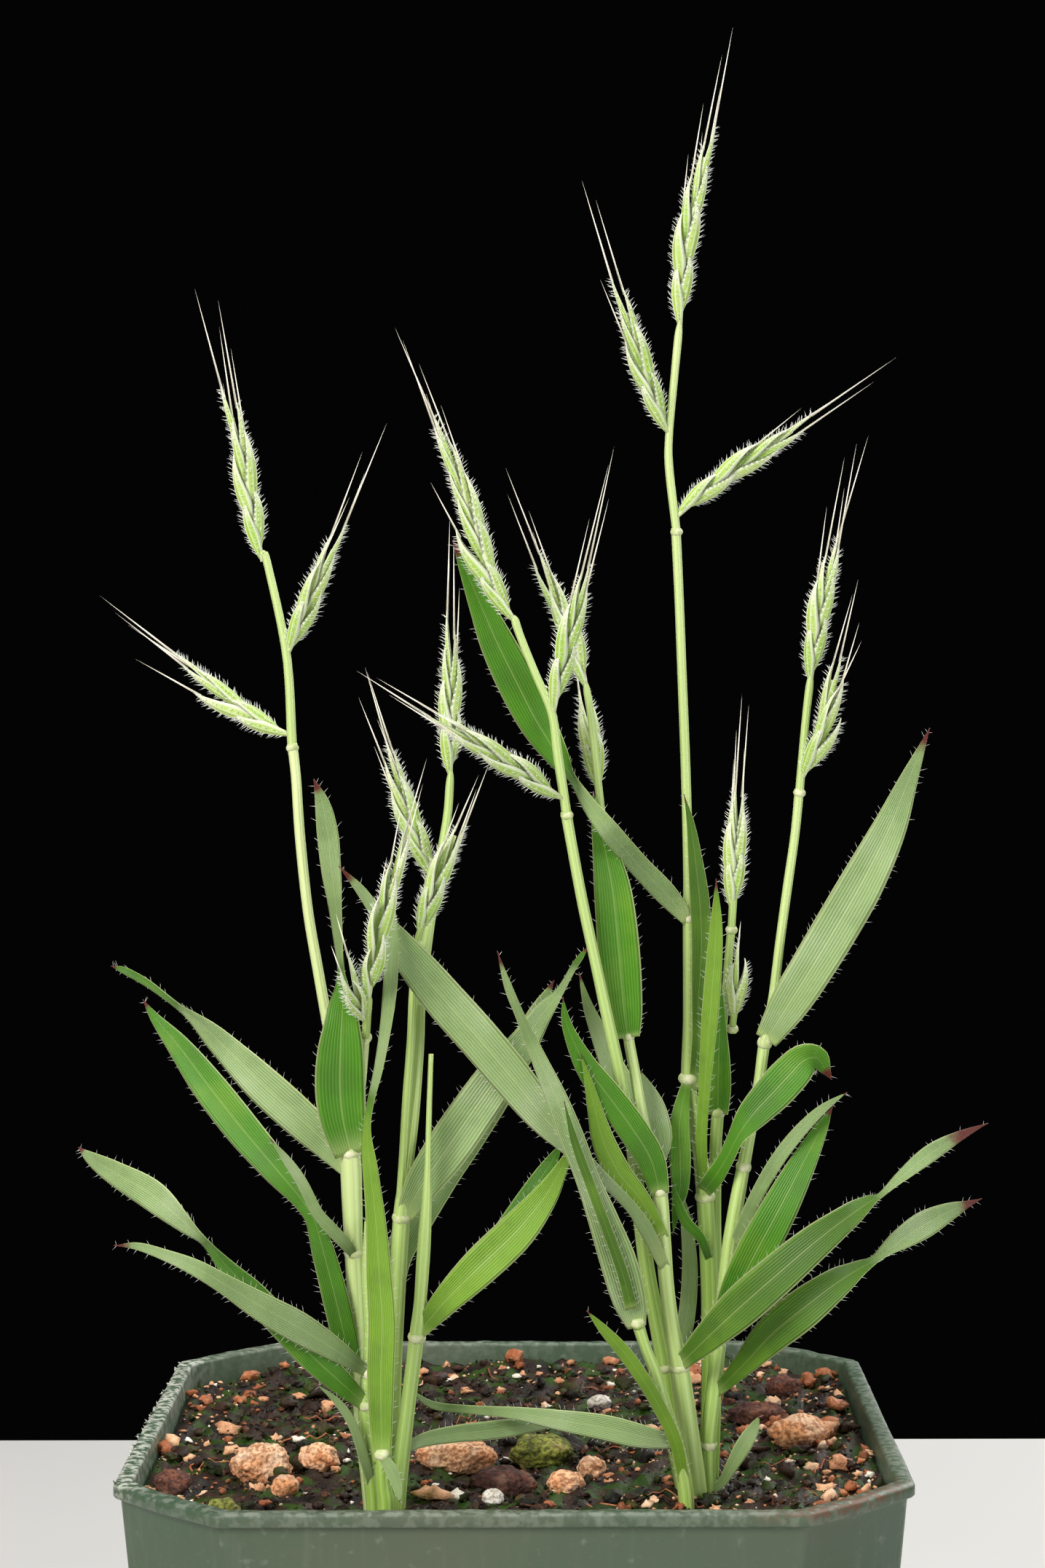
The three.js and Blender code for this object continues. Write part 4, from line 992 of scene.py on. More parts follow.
@dataclass
class Spikelet:
    """Overlapping boat-shaped scales in two ranks on a slim core, each with hairs and an awn."""

    rows: Rows
    scales: int
    awn: float
    turn: float = 0.0
    richness: float = 1.2
    slimming: float = 0.64
    core: float = 0.6
    core_step: float = 2.5
    turn_spread: float = 12.0
    glumes: int = 2
    glume_length: float = 0.78
    glume_width: float = 0.74

    def add_to(self, skin: Skin, draw: Draw) -> None:
        """Add the spikelet to its head.

        Args:
            skin: The head's skin.
            draw: The random draw for its scales and hairs.
        """
        path = Path(self.rows)
        length = path.length()
        add_stalk(skin, [[*row[:3], self.core] for row in self.rows[:-1]], self.core_step, 0.6)
        count = max(self.scales + 1, round(self.scales * self.richness))
        span = max(1 - SIZE.lemma / length, 0.3)
        for i in range(count):
            t = i / count * span * (count / (count - 0.6)) + 0.02
            along, side, face = path.axes(t)
            wander = draw.uniform(-self.turn_spread, self.turn_spread)
            angle = math.radians(self.turn + wander) + (i % 2) * math.pi
            out = between(side, face, angle)
            share = (i + 1) / count
            glume = i < self.glumes
            awn = 0.0
            if i > 0 or self.awn >= 3:
                awn = self.awn * (0.45 + 0.7 * share) * draw.uniform(0.9, 1.05)
            reach = SIZE.lemma * (self.glume_length if glume else 1.0) * draw.uniform(0.95, 1.04)
            slim = self.glume_width if glume else 1.0 - self.slimming * max(share - 0.3, 0.0) / 0.7
            seat = Seat(path.at(t), along, out)
            self.add_scale(skin, seat, reach, slim, 0.0 if glume else awn, draw)

    def add_scale(self, skin: Skin, seat: Seat, length: float, slim: float, awn: float, draw: Draw) -> None:
        """Add one scale: a ribbed boat that wraps the core, its edge hairs and its awn.

        Args:
            skin: The head's skin.
            seat: Where it grows and how it is turned.
            length: The scale's length.
            slim: Its width as a share of a full one's.
            awn: The length of the bristle at its tip, or 0.
            draw: The random draw for its tone and hairs.
        """
        root, along, out, cross = seat.root, seat.along, seat.out, seat.cross()
        tone = draw.random()
        columns = across_columns(SIZE.lemma_columns)
        rings, looks, edges = [], [], []
        for i in range(SIZE.lemma_steps + 1):
            share = i / SIZE.lemma_steps
            # It swells quickly to its full width and comes to a point over its last third.
            point = max((share - 0.7) / 0.3, 0.0) ** 1.5
            girth = max(math.sin(math.pi / 2 * min(share / 0.6, 1.0)) ** 0.8, 0.12) * (1 - 0.86 * point)
            half = SIZE.lemma_width / 2 * girth * slim
            # The keel arches out, and the edges close in on it towards the tip.
            keel = 0.3 + (SIZE.lemma_keel * slim - 0.3) * math.sin(math.pi * 0.87 * share)
            edge = -0.2 + (keel + 0.1) * max((share - 0.35) / 0.65, 0.0) ** 1.1
            centre = root + along * (length * share)
            ring, look = [], []
            for level, order in ((1.0, columns), (0.0, columns[-2:0:-1])):
                for x in order:
                    arch = math.cos(x * math.pi / 2) ** 0.85 if abs(x) < 1 else 0.0
                    rib = SIZE.lemma_rib * math.cos(x * SIZE.lemma_ribs) * level * girth
                    thin = SIZE.lemma_thickness * (1 - 0.8 * x * x) * (1 - level)
                    rise = edge + (keel - edge) * arch + rib - thin
                    ring.append(centre + cross * (half * math.sin(x * 1.45)) + out * rise)
                    look.append((x, share, tone))
            rings.append(ring)
            looks.append(look)
            edges.append([ring[1], ring[len(columns) // 2], ring[len(columns) - 2]])
        skin.tube(rings, looks, SCALE)
        tip = root + along * length + out * (keel - 0.05)
        self.add_edge_hairs(skin, edges, seat, draw)
        if awn > 0:
            bend = out * (awn * draw.uniform(-0.045, 0.03)) + cross * (awn * draw.uniform(-0.06, 0.06))
            root = tip - along * SIZE.awn_foot
            skin.needle(root, tip + along * awn + bend, SIZE.awn_thickness, (0.0, 0.6, tone), AWN)

    def add_edge_hairs(self, skin: Skin, edges: list[Ring], seat: Seat, draw: Draw) -> None:
        """Add the stiff white hairs that fringe a scale's two edges and its keel.

        Args:
            skin: The head's skin.
            edges: One edge, the keel and the other edge, for each of the scale's rings.
            seat: How the scale is turned.
            draw: The random draw for each hair.
        """
        along, out, cross = seat.along, seat.out, seat.cross()
        for i in range(1, len(edges) - 2):
            for side, sign, count in ((0, -1.0, 1), (1, 0.0, 2), (2, 1.0, 1)):
                start, end = edges[i][side], edges[i + 1][side]
                for _ in range(count):
                    root = start.lerp(end, draw.random())
                    lean = cross * (sign * draw.uniform(0.3, 0.9) + draw.uniform(-0.55, 0.55))
                    lean += along * draw.uniform(0.3, 0.9) + out * draw.uniform(0.5, 1.1)
                    reach = SIZE.bristle * draw.uniform(0.55, 1.0)
                    tip = root + lean.normalized() * reach
                    skin.needle(root, tip, SIZE.bristle_thickness, BRISTLE_LOOK, HAIR)


@dataclass
class FlowerHead:
    """A spike of hairy, awned spikelets on a thin stalk."""

    name: str
    rods: list[Rows]
    spikelets: list[Spikelet]

    def foot_rows(self) -> Rows:
        """Give the lowest stretch of a spikelet that has no stalk of its own."""
        return [[*row[:3], SIZE.stalk_thickness] for row in self.spikelets[0].rows[:2]]

    def build(self, finishes: list[Material], seed: int) -> Piece:
        """Build the head as one piece.

        Args:
            finishes: The materials of the living parts.
            seed: The seed of its random draw.

        Returns:
            The piece, which stands for the solid head of its name.
        """
        draw = random.Random(seed)
        skin = Skin(f"hairy_{self.name}")
        foot = led_down(self.rods[0] if self.rods else self.foot_rows(), SIZE.stalk_foot)
        add_stalk(skin, pointed(foot, 0.25, 0.35), SIZE.stalk_step, 0.0)
        add_ring(skin, foot, 0.3 / (len(foot) - 1), SIZE.joint_thickness, SIZE.joint_rise)
        for spikelet in self.spikelets:
            spikelet.add_to(skin, draw)
        return skin.make(finishes, "flower_head", [self.name])


STEMS = [
    LeafyStem(
        "left_front_stem",
        tones=[Tone.BRIGHT, Tone.BLOOM],
        rods=[[[-18, 77.5, -43, 2.2], [-18.3, 80.5, -43, 2], [-18.5, 85, -43, 1.9]]],
        collars=[[0, 1, 2.6]],
        blades=[
            [[-18.5, 83.5, -43.4, 2.2], [-18.6, 89, -43.8, 2.9], [-18.6, 96, -43.5, 3.4],
            [-18.4, 103, -43, 3.4], [-18.8, 110, -42.5, 3.1], [-19.2, 117, -42, 2.5], [-19.8, 123, -41.5, 2],
            [-20.3, 129, -41, 1.8, 50], [-19.8, 133, -41, 1.6, 60], [-18.6, 138, -40.5, 1.6, 45],
            [-17.6, 144, -40, 1.7, 30], [-17, 150, -39.5, 1.8, 10], [-16.8, 156, -39, 1.6],
            [-17.1, 161, -38.5, 1.1], [-17.4, 166, -38, 0]],
            [[-18.3, 84.2, -43.8, 1.2], [-17.4, 82.9, -45, 1.5], [-16.6, 81, -46, 1.4],
            [-16.2, 79.2, -46.8, 0.9], [-16.1, 78.2, -47.2, 0]],
        ],
    ),
    LeafyStem(
        "left_low_stem",
        tones=[Tone.GREEN, Tone.BLOOM, Tone.BLOOM],
        scorched={1: 0.45},
        rods=[[[-19.6, 78, -40, 2], [-20.2, 84, -40, 2], [-20.7, 91.5, -39.5, 1.9], [-20.4, 96, -39.2, 1.6],
            [-20.1, 101, -38.8, 1.4], [-20.3, 105.5, -38.5, 1.3], [-20.5, 110, -38.2, 1.2],
            [-20.3, 117, -37.9, 0.8]]],
        collars=[[0, 0.29, 2.5], [0, 0.43, 2.1]],
        blades=[
            [[-20.6, 91.5, -39.9, 1.6], [-24, 94.6, -41.5, 3], [-28, 98.3, -43, 3.6],
            [-32, 102.5, -44.5, 3.4], [-36, 106.8, -46, 3.2], [-39.5, 110.6, -47, 2.4, 30],
            [-42.6, 114.3, -47, 2, 62], [-45.3, 116.7, -46, 2.6, 35], [-50, 120.7, -43, 3.7],
            [-55, 123.7, -39, 2.9], [-58.3, 125.8, -36, 1.5], [-60, 127.3, -35, 0]],
            [[-20.3, 96, -39.6, 1.2], [-25, 99.3, -42.6, 2.8], [-30, 102.4, -45.8, 3.8],
            [-35, 105.2, -48.5, 3.4], [-40, 108.3, -50, 2.4], [-44, 110.6, -50, 2], [-48, 112.3, -49, 1.4],
            [-52, 113.6, -47.5, 0.9], [-55.2, 113.7, -46.5, 0]],
            [[-19.8, 80, -40.6, 1], [-20.9, 84, -41.5, 1.3], [-22.4, 88.6, -42.3, 1.2], [-24.6, 92, -43, 0.9],
            [-27.5, 94.5, -44, 0]],
        ],
    ),
    LeafyStem(
        "left_tall_stem",
        tones=[Tone.GREEN, Tone.BLOOM, Tone.GREEN, Tone.BLOOM],
        paleness=0.45,
        rods=[
            [[-19.8, 78, -35.8, 2.4], [-20.8, 88, -35.6, 2.4], [-21.5, 97, -35.4, 2.4],
            [-21.9, 106, -35.2, 2.3], [-22.2, 112.5, -35, 2.3], [-22.4, 120, -34.8, 2.6],
            [-22.7, 126.6, -34.5, 2.6], [-24, 136, -34, 1.6], [-25.6, 144, -33.5, 1.4], [-27, 152, -33, 1.35],
            [-28.3, 160, -32.5, 1.3], [-29.3, 170, -32, 1.3], [-29.8, 178, -31.5, 1.25],
            [-30.3, 182.6, -31.4, 1.3]],
            [[-22.2, 125.5, -34.6, 1.8], [-21.4, 133, -34.9, 1.3], [-20.9, 138, -35.2, 1.2],
            [-20.5, 142.2, -35.6, 1.1]],
        ],
        collars=[[0, 0.46, 3.2], [0, 0.31, 2.8]],
        blades=[
            [[-22.5, 126.2, -35.6, 4.2], [-23.6, 131, -36.8, 5.8], [-24, 135.5, -37, 6.3],
            [-23.9, 140.5, -37, 5.8], [-23.7, 145, -36.8, 4.2], [-23.5, 149, -36.6, 3, 50],
            [-23.7, 152, -36.5, 2.4, 72], [-24, 156, -36.4, 2.2, 58], [-24.5, 161, -36, 2.2, 35],
            [-25.1, 165.5, -35.6, 2.5], [-25.5, 170, -35, 2.7], [-26.2, 174.3, -34.5, 1.9],
            [-27.4, 177.8, -34, 0]],
            [[-22.8, 124, -34, 2.2], [-26, 127.8, -32.5, 4], [-30, 131.6, -31, 4.8], [-35, 136.2, -28, 4.7],
            [-40, 141.2, -24, 3.4], [-43.6, 144.7, -21, 2.4, 45], [-46.3, 146.9, -19, 1.8, 65],
            [-50, 149.7, -16.5, 1.7, 55], [-53, 151.4, -15, 1.3, 40], [-55.3, 152.2, -14, 0]],
            [[-21.6, 93.8, -36, 1.8], [-23.2, 99.5, -36.8, 3], [-24.6, 105.5, -37, 3.3],
            [-26.1, 111.5, -37, 3], [-27.6, 117, -37, 2.6, 40], [-29.3, 119.9, -36, 2.4, 20],
            [-33, 124.4, -34, 3.8], [-37.5, 129.8, -31, 4.5], [-42, 135.6, -27.5, 4.3], [-46, 141, -24, 3],
            [-49.3, 145, -21.5, 1.3], [-51, 147.6, -20, 0]],
            [[-22, 112, -35.6, 1], [-23.5, 114, -37.4, 1.5], [-25.4, 116, -38.2, 1.6],
            [-27.3, 118.3, -38.6, 1.4], [-29.3, 122.3, -39, 1.4], [-31.3, 125.3, -39.3, 1.1],
            [-33.7, 128.5, -39.6, 0]],
        ],
    ),
    LeafyStem(
        "left_middle_stem",
        tones=[Tone.BLOOM, Tone.BLOOM],
        rods=[
            [[-17.4, 78, -32, 2.2], [-17.2, 88, -32, 2.3], [-16.8, 98, -31.8, 2.2], [-16.2, 108, -31.6, 2.1],
            [-15.6, 117.5, -31.4, 2.2], [-14.9, 124, -31.2, 1.6], [-14, 131, -31, 1.5],
            [-13.2, 141, -30.6, 1.45], [-12.9, 148, -30.3, 1.4], [-11.9, 156, -30, 1.4],
            [-10.9, 162.6, -29.7, 1.3]],
            [[-15.8, 117, -31.4, 1.5], [-15.3, 126, -31.6, 1.2], [-14.8, 134, -31.8, 1.2],
            [-14.2, 142, -32, 1.1], [-13.9, 149, -32.2, 1], [-13.1, 155.3, -32.4, 1]],
        ],
        collars=[[0, 0.4, 2.8]],
        blades=[
            [[-15.3, 117.5, -31.9, 2.2], [-12.8, 122, -33, 4.4], [-9.3, 127, -33, 5.6],
            [-5.7, 132.2, -32.5, 5.6], [-2.4, 136.8, -32, 5.2], [0.9, 141, -31.5, 4], [3.6, 145.2, -31, 2.6],
            [6.2, 148.4, -30.5, 1.8, 50], [8.3, 152.1, -30, 1.4, 55], [10.2, 154.8, -29.5, 0]],
            [[-16.3, 107, -31.2, 1.6], [-16, 112.5, -29.8, 3.6], [-13, 118, -29.4, 4],
            [-9.6, 123.6, -29.2, 4], [-6, 129, -29, 4], [-2, 135.5, -29, 4], [1, 141, -29, 3.4],
            [3.3, 146, -29, 2.2], [5.4, 150.1, -29, 0]],
        ],
    ),
    LeafyStem(
        "left_side_stem",
        tones=[Tone.BRIGHT, Tone.GREEN, Tone.BLOOM],
        rods=[[[-16.3, 78, -36.6, 2], [-15.8, 84, -36.2, 2.1], [-14.8, 92, -35.8, 1.9],
            [-13.6, 101.2, -35.6, 1.9], [-13.1, 106, -35.6, 1.6], [-12.6, 113, -35.6, 1.7],
            [-12.2, 119.5, -35.8, 1.3], [-12, 125, -36, 0.8], [-11.8, 132, -36, 0.7],
            [-11.5, 140, -36, 0.6]]],
        collars=[[0, 0.33, 2.5]],
        blades=[
            [[-13.4, 101.4, -36, 1.6], [-10, 105.6, -36.5, 3.4], [-5, 110.6, -37, 4.8], [0, 115.4, -36, 4.8],
            [3.8, 120, -34.5, 3.4], [6, 123.6, -33, 1.9], [7.6, 126.8, -32, 0.7], [8.6, 128.4, -31.5, 0]],
            [[-13.2, 101.4, -35.2, 1], [-8, 106.8, -32.5, 2.6], [-2.3, 114.6, -30, 2.6],
            [1.5, 120, -28.5, 2.6], [4.5, 124.4, -27.5, 2], [6.4, 127.8, -27, 0]],
            [[-15.8, 85.3, -36.4, 1], [-12.5, 86.8, -35.2, 1.8], [-8, 87.6, -33.5, 2.2], [-3, 88.1, -31, 2.4],
            [1.5, 88.7, -29, 2], [5, 88.8, -27.5, 0.9], [7, 88.2, -27, 0]],
        ],
    ),
    LeafyStem(
        "right_front_stem",
        tones=[Tone.BLOOM, Tone.DULL, Tone.BRIGHT, Tone.BLOOM],
        rods=[[[23.4, 78.5, -33.6, 2], [22.4, 84.5, -33.7, 1.9], [20.8, 90, -33.8, 1.8],
            [19.3, 95.5, -34, 1.6], [17.8, 99.5, -34.2, 1.4], [16.7, 103, -34.4, 1.6]]],
        collars=[[0, 1, 2.2]],
        blades=[
            [[16.6, 102.3, -34.6, 2.4], [15.6, 106, -35.6, 4.2], [14.1, 111.3, -36.8, 4.6],
            [12, 117.2, -38, 3.8], [9.8, 123, -38.5, 3], [7.7, 128.6, -38.8, 3.1], [5.6, 134, -39, 2.7],
            [3.4, 139, -39, 2], [0.8, 145, -39, 1.2], [-0.9, 149.2, -39, 1], [-2.4, 154.2, -39, 0]],
            [[15.9, 104.8, -35.8, 1.6], [14.7, 109.6, -37.6, 1.4], [12.6, 115.6, -39, 1.3],
            [10.1, 122.4, -40, 1.2], [8.1, 128, -40.4, 1], [6.7, 133.5, -40.6, 0]],
            [[23, 81, -34.2, 1.4], [22, 86, -35.2, 1.6], [20.3, 90, -36, 1.7], [18, 94.2, -37, 1.8],
            [15, 98.6, -38.2, 1.8], [12, 102, -39.3, 1.2], [9.7, 104.6, -40, 0]],
            [[21.9, 86.3, -34, 1.6], [17, 87.2, -36, 3], [12, 88.4, -36, 3.2], [6, 89.4, -35, 2.6],
            [0, 90.4, -33, 1.6], [-6, 90.9, -30.5, 1.1], [-11.6, 91.6, -28, 1], [-15, 94.2, -26, 0]],
        ],
    ),
    LeafyStem(
        "right_broad_stem",
        tones=[Tone.GREEN, Tone.GREEN, Tone.BRIGHT, Tone.BLOOM, Tone.DULL, Tone.BLOOM, Tone.BLOOM],
        scorched={4: 0.65},
        paleness=0.2,
        rods=[[[24.8, 78.8, -29.5, 2.8], [23.7, 88, -29.6, 2.7], [22.5, 96.6, -29.8, 2.5],
            [21.6, 101.5, -29.9, 2], [20.8, 107.5, -30, 1.9], [20.3, 114, -30, 2], [19.8, 121, -30, 2],
            [18.7, 125.5, -30, 1.8], [17.5, 131, -29.8, 1.5], [16.5, 137, -29.4, 1.4],
            [15.5, 142.6, -29, 1.35], [14.5, 150, -28.2, 1.1], [13.3, 160, -27.6, 1], [12.3, 168, -27.1, 1],
            [11.9, 173, -26.8, 1]]],
        collars=[[0, 0.145, 3], [0, 0.43, 2.5], [0, 0.715, 1.9]],
        blades=[
            [[15.5, 142.2, -29.7, 3], [15, 146, -30.4, 4.6], [14.3, 154, -30.6, 5.3], [13.5, 162, -30.2, 4.8],
            [12.4, 168, -28.8, 3.2], [11.4, 172.3, -28.4, 1.6], [10.8, 176, -28.2, 0]],
            [[19.8, 120.6, -30.8, 2.4], [18.6, 125.4, -32.2, 3.6], [15.8, 130, -33.2, 3.9],
            [12.6, 134.4, -34, 3.6], [9.8, 138.2, -34.6, 2.9], [7.7, 142.4, -35, 1.7], [6.9, 145, -35, 1],
            [6.6, 147.8, -35, 0]],
            [[20.3, 114.5, -30.8, 1.6], [17.4, 119.6, -32.6, 2.4], [14.3, 123.4, -33.6, 3.2],
            [12.2, 127.6, -34.2, 3], [11, 132, -34.6, 2], [10, 136.4, -35, 1], [9, 140, -35.2, 0]],
            [[20.4, 110.6, -30.8, 1.4], [18, 115.6, -33, 1.8], [15.8, 118.9, -34.4, 1.5],
            [12.6, 122.2, -35.8, 1.6], [10.4, 124.4, -36.4, 1.8], [7.4, 127.4, -36.8, 2.6],
            [3.8, 131.4, -37, 4.2], [-0.5, 136.8, -37, 5.1], [-5, 142.2, -36.8, 5.3],
            [-9.5, 147.3, -36.6, 5.2], [-13.2, 151.8, -36.8, 4.6], [-16.4, 156, -37.2, 3.2],
            [-18.6, 159, -37.8, 1.8], [-21.2, 162.7, -38.3, 1.2], [-24.1, 165.9, -38.5, 0]],
            [[22.4, 97, -30.6, 1.8], [26.5, 101, -33, 3.8], [31, 105.2, -34.5, 5.2], [36, 109.6, -35.5, 5.1],
            [41, 113.9, -35.5, 4.4], [45.4, 117.3, -34.5, 3.2], [48.6, 119.5, -33.5, 2.2, 45],
            [50.2, 120.4, -33, 1.8, 68], [53.2, 123.1, -31.5, 2, 40], [57, 126.2, -29.5, 2.2, 10],
            [60.8, 128.5, -27.5, 1.3], [64.8, 130.3, -26, 0]],
            [[18.9, 124.4, -29.7, 1.6], [17.9, 128, -26.2, 2.4], [16.2, 131.5, -26.2, 3.4],
            [14.8, 135, -25.8, 3.6], [13.2, 138.6, -25.6, 3], [11.6, 142.6, -25.6, 2.3],
            [10, 146.6, -25.6, 1.3], [8.8, 151.2, -25.6, 0]],
            [[19, 124, -29.6, 1.6], [19.9, 128, -27.6, 3], [19.2, 132, -26.6, 3], [18.2, 135, -26.2, 1.8],
            [17.2, 137.6, -26, 0]],
        ],
    ),
    LeafyStem(
        "right_arching_stem",
        tones=[Tone.BLOOM],
        rods=[[[23.4, 78.5, -25.6, 2.4], [21.9, 87, -25.8, 2.4], [20.6, 96.8, -26, 2.4],
            [19.4, 103, -26.2, 2.1], [18.1, 110, -26.6, 2], [17.1, 118, -27.4, 1.9], [16.3, 126, -28.6, 1.8],
            [15.3, 132, -30, 1.7], [14.2, 138, -31.4, 1.6], [12.7, 145, -32.4, 1.5], [11, 153, -33, 1.4],
            [9.4, 160.5, -33.5, 1.4], [8, 168, -33.8, 1.35], [7.1, 173.2, -34, 1.4]]],
        collars=[[0, 0.155, 3]],
        blades=[[[20.9, 97, -25.4, 1.6], [22.6, 100, -21.6, 2.2], [23.6, 105, -18.6, 2.2],
            [23.9, 111, -17.6, 2], [23.4, 117, -17.4, 1.4], [22.8, 121, -17.4, 0]]],
    ),
    LeafyStem(
        "right_tallest_stem",
        tones=[Tone.BLOOM, Tone.DULL, Tone.GREEN, Tone.GREEN, Tone.GREEN, Tone.BRIGHT],
        scorched={4: 0.5},
        rods=[[[26.2, 79, -23.4, 2], [26.4, 88, -23.2, 2], [26.6, 98, -23, 2.1], [26.6, 108, -22.8, 2.2],
            [26, 120.4, -22.6, 2.2], [25.2, 127, -22.4, 1.8], [24.4, 132, -22.2, 1.8],
            [23.8, 136.6, -22, 1.9], [23.9, 145, -21.6, 1.6], [23.9, 158.4, -21, 1.6],
            [23.8, 165, -20.6, 1.3], [23.5, 178, -20, 1.25], [23, 192, -19, 1.2], [22.6, 203, -18.4, 1.2],
            [22.2, 211.8, -18, 1.25]]],
        collars=[[0, 0.5, 3], [0, 0.285, 2.9], [0, 0.645, 2.1]],
        blades=[
            [[23.8, 158.2, -21.6, 1.6], [20.8, 161.8, -23.4, 2.9], [17, 165.8, -26, 2.8],
            [13.2, 170.3, -32.8, 2.6], [10.4, 174, -32.4, 2.2, 30], [8.2, 177.7, -31.2, 2.2, 62],
            [6.2, 180.6, -31, 3.2, 25], [3.2, 185.4, -31, 4.6], [0.4, 190.9, -31, 5],
            [-2.2, 196.2, -31.4, 4.4], [-4.2, 200.8, -32, 3.2], [-6.4, 206, -32.6, 1.7],
            [-8.3, 210.3, -33, 0]],
            [[24.4, 135, -22.8, 1.2], [25.2, 142, -22.9, 1.8], [25.1, 146.6, -22.6, 1.6],
            [25.4, 151, -22.4, 2.2], [25.6, 156, -22.2, 2.6], [25.3, 161.5, -22.1, 2.5],
            [24.7, 167, -22, 1.8], [24.1, 171.6, -22, 1], [23.2, 175.6, -21.8, 0]],
            [[23.6, 136.2, -22.8, 1.2], [22.6, 131, -24.4, 2.4], [22.6, 126, -25.4, 2.8],
            [22.6, 121.5, -25.8, 2.2], [22, 118, -26, 1], [21.6, 115, -26, 0]],
            [[26.6, 111.4, -23.4, 0.9], [25.4, 114.6, -26, 1.2], [23.4, 116.8, -27.2, 1.4],
            [22.3, 119.4, -27.8, 1], [21.6, 122.2, -28, 0]],
            [[25.8, 121, -23.4, 2], [27.2, 122.8, -26.2, 2.4], [29, 125.6, -27.6, 2.2, 20],
            [30.4, 128.4, -28, 2.6, 30], [32.6, 131.6, -28, 4], [35.4, 134.6, -28, 4.9],
            [37.8, 137.2, -28, 4.9], [39.6, 139, -27.6, 4.2], [41.4, 139.3, -26, 3], [42.4, 137.9, -25, 1.6],
            [43.4, 136.3, -24.6, 0]],
            [[25.8, 121, -23.2, 1.4], [25.5, 128, -24.4, 1.5], [25.9, 134.5, -25, 1.5], [26.3, 140, -25, 1.9],
            [26.8, 146, -25, 2.2], [27.3, 152.4, -24.6, 2.1], [27.6, 158, -24.2, 1.5], [27.6, 164, -24, 0]],
        ],
    ),
    LeafyStem(
        "right_short_stem",
        tones=[Tone.GREEN],
        rods=[[[27, 80.3, -19.4, 1.6], [27.3, 92, -19.5, 1.7], [27.4, 105, -19.6, 1.8],
            [27.3, 118, -19.6, 1.8], [27.5, 127, -19.6, 1.6], [27.8, 132, -19.6, 1.6],
            [28.2, 139, -19.6, 1.1], [28.8, 147, -19.6, 1.1], [29.3, 153, -19.6, 1.1],
            [29.7, 157.3, -19.6, 1.1]]],
        collars=[[0, 0.555, 2.1]],
        blades=[[[27.8, 131.6, -20, 2.6], [27.8, 135, -21.2, 3.4], [27.9, 139, -21.6, 3],
            [28, 143.5, -21.6, 1.9], [28, 148, -21.6, 1], [27.9, 152, -21.6, 0]]],
    ),
    LeafyStem(
        "right_leaning_stem",
        scorched={0: 0.3, 1: 0.65, 2: 0.3},
        tones=[Tone.BLOOM, Tone.DULL, Tone.GREEN, Tone.BLOOM, Tone.BLOOM],
        rods=[[[26.4, 79.5, -27.4, 2], [26.4, 86, -27.4, 2], [27.2, 93.5, -27.2, 2], [27.9, 100, -27, 1.9],
            [28.6, 107, -26.8, 1.9], [29.3, 113, -26.4, 1.9], [30.3, 119, -26, 1.9],
            [31.3, 124.4, -25.6, 1.7], [32.2, 129, -25.2, 1.5], [33.4, 135.6, -24.6, 1.4],
            [34.2, 141.4, -24, 1.5], [35.3, 147, -23.4, 1.25], [36.3, 155, -22.8, 1.2],
            [37.4, 163, -22.2, 1.2], [38.4, 170, -21.8, 1.15], [39, 176.2, -21.5, 1.2]]],
        collars=[[0, 0.067, 2.5], [0, 0.467, 2.2], [0, 0.667, 2.1]],
        blades=[
            [[34.4, 141.8, -24.4, 3], [37.6, 146.8, -26, 5], [41, 152.2, -26.4, 5.6], [44.5, 158, -26, 5.8],
            [47.7, 163.6, -25, 5.6], [51.2, 170.6, -23, 4.4], [53.9, 177.4, -21, 2.4], [56.8, 184.5, -19, 0]],
            [[27.4, 93.2, -27.7, 1.4], [31.4, 97.2, -30, 2.9], [35, 101.1, -32, 4.6],
            [39.2, 104.6, -33.5, 5.1], [43.6, 108, -33.5, 4], [47, 110.2, -32.5, 2.6, 35],
            [49.6, 111.6, -31.5, 2.2, 62], [52.8, 114.1, -29.5, 2.9, 20], [56, 116.3, -27.5, 3.4],
            [59.2, 118, -25.5, 2.4], [61.6, 119, -24, 1.1], [63.9, 119.9, -23, 0]],
            [[28.2, 102.5, -27.5, 2.6], [30.2, 107, -29, 4.2], [33, 112.6, -30, 5], [36, 118.2, -30, 4.7],
            [39, 124, -29, 3.6], [41.6, 129, -27.5, 2], [43.5, 132.6, -26.5, 0]],
            [[29.9, 113.6, -26.9, 1.2], [32.4, 119, -28.4, 1.7], [35.4, 124.5, -28.8, 1.8],
            [38.6, 128.8, -28.8, 1.7], [42, 132.2, -28.4, 1.2], [45.5, 134.6, -28, 0]],
            [[26.7, 79.6, -27.9, 1.2], [28.3, 80.8, -28.6, 1.2], [29.6, 83, -29.4, 1.6],
            [31.2, 85.8, -29.8, 2.1], [32.6, 88.2, -29.6, 1.5], [33.4, 90, -29.4, 0]],
        ],
    ),
]

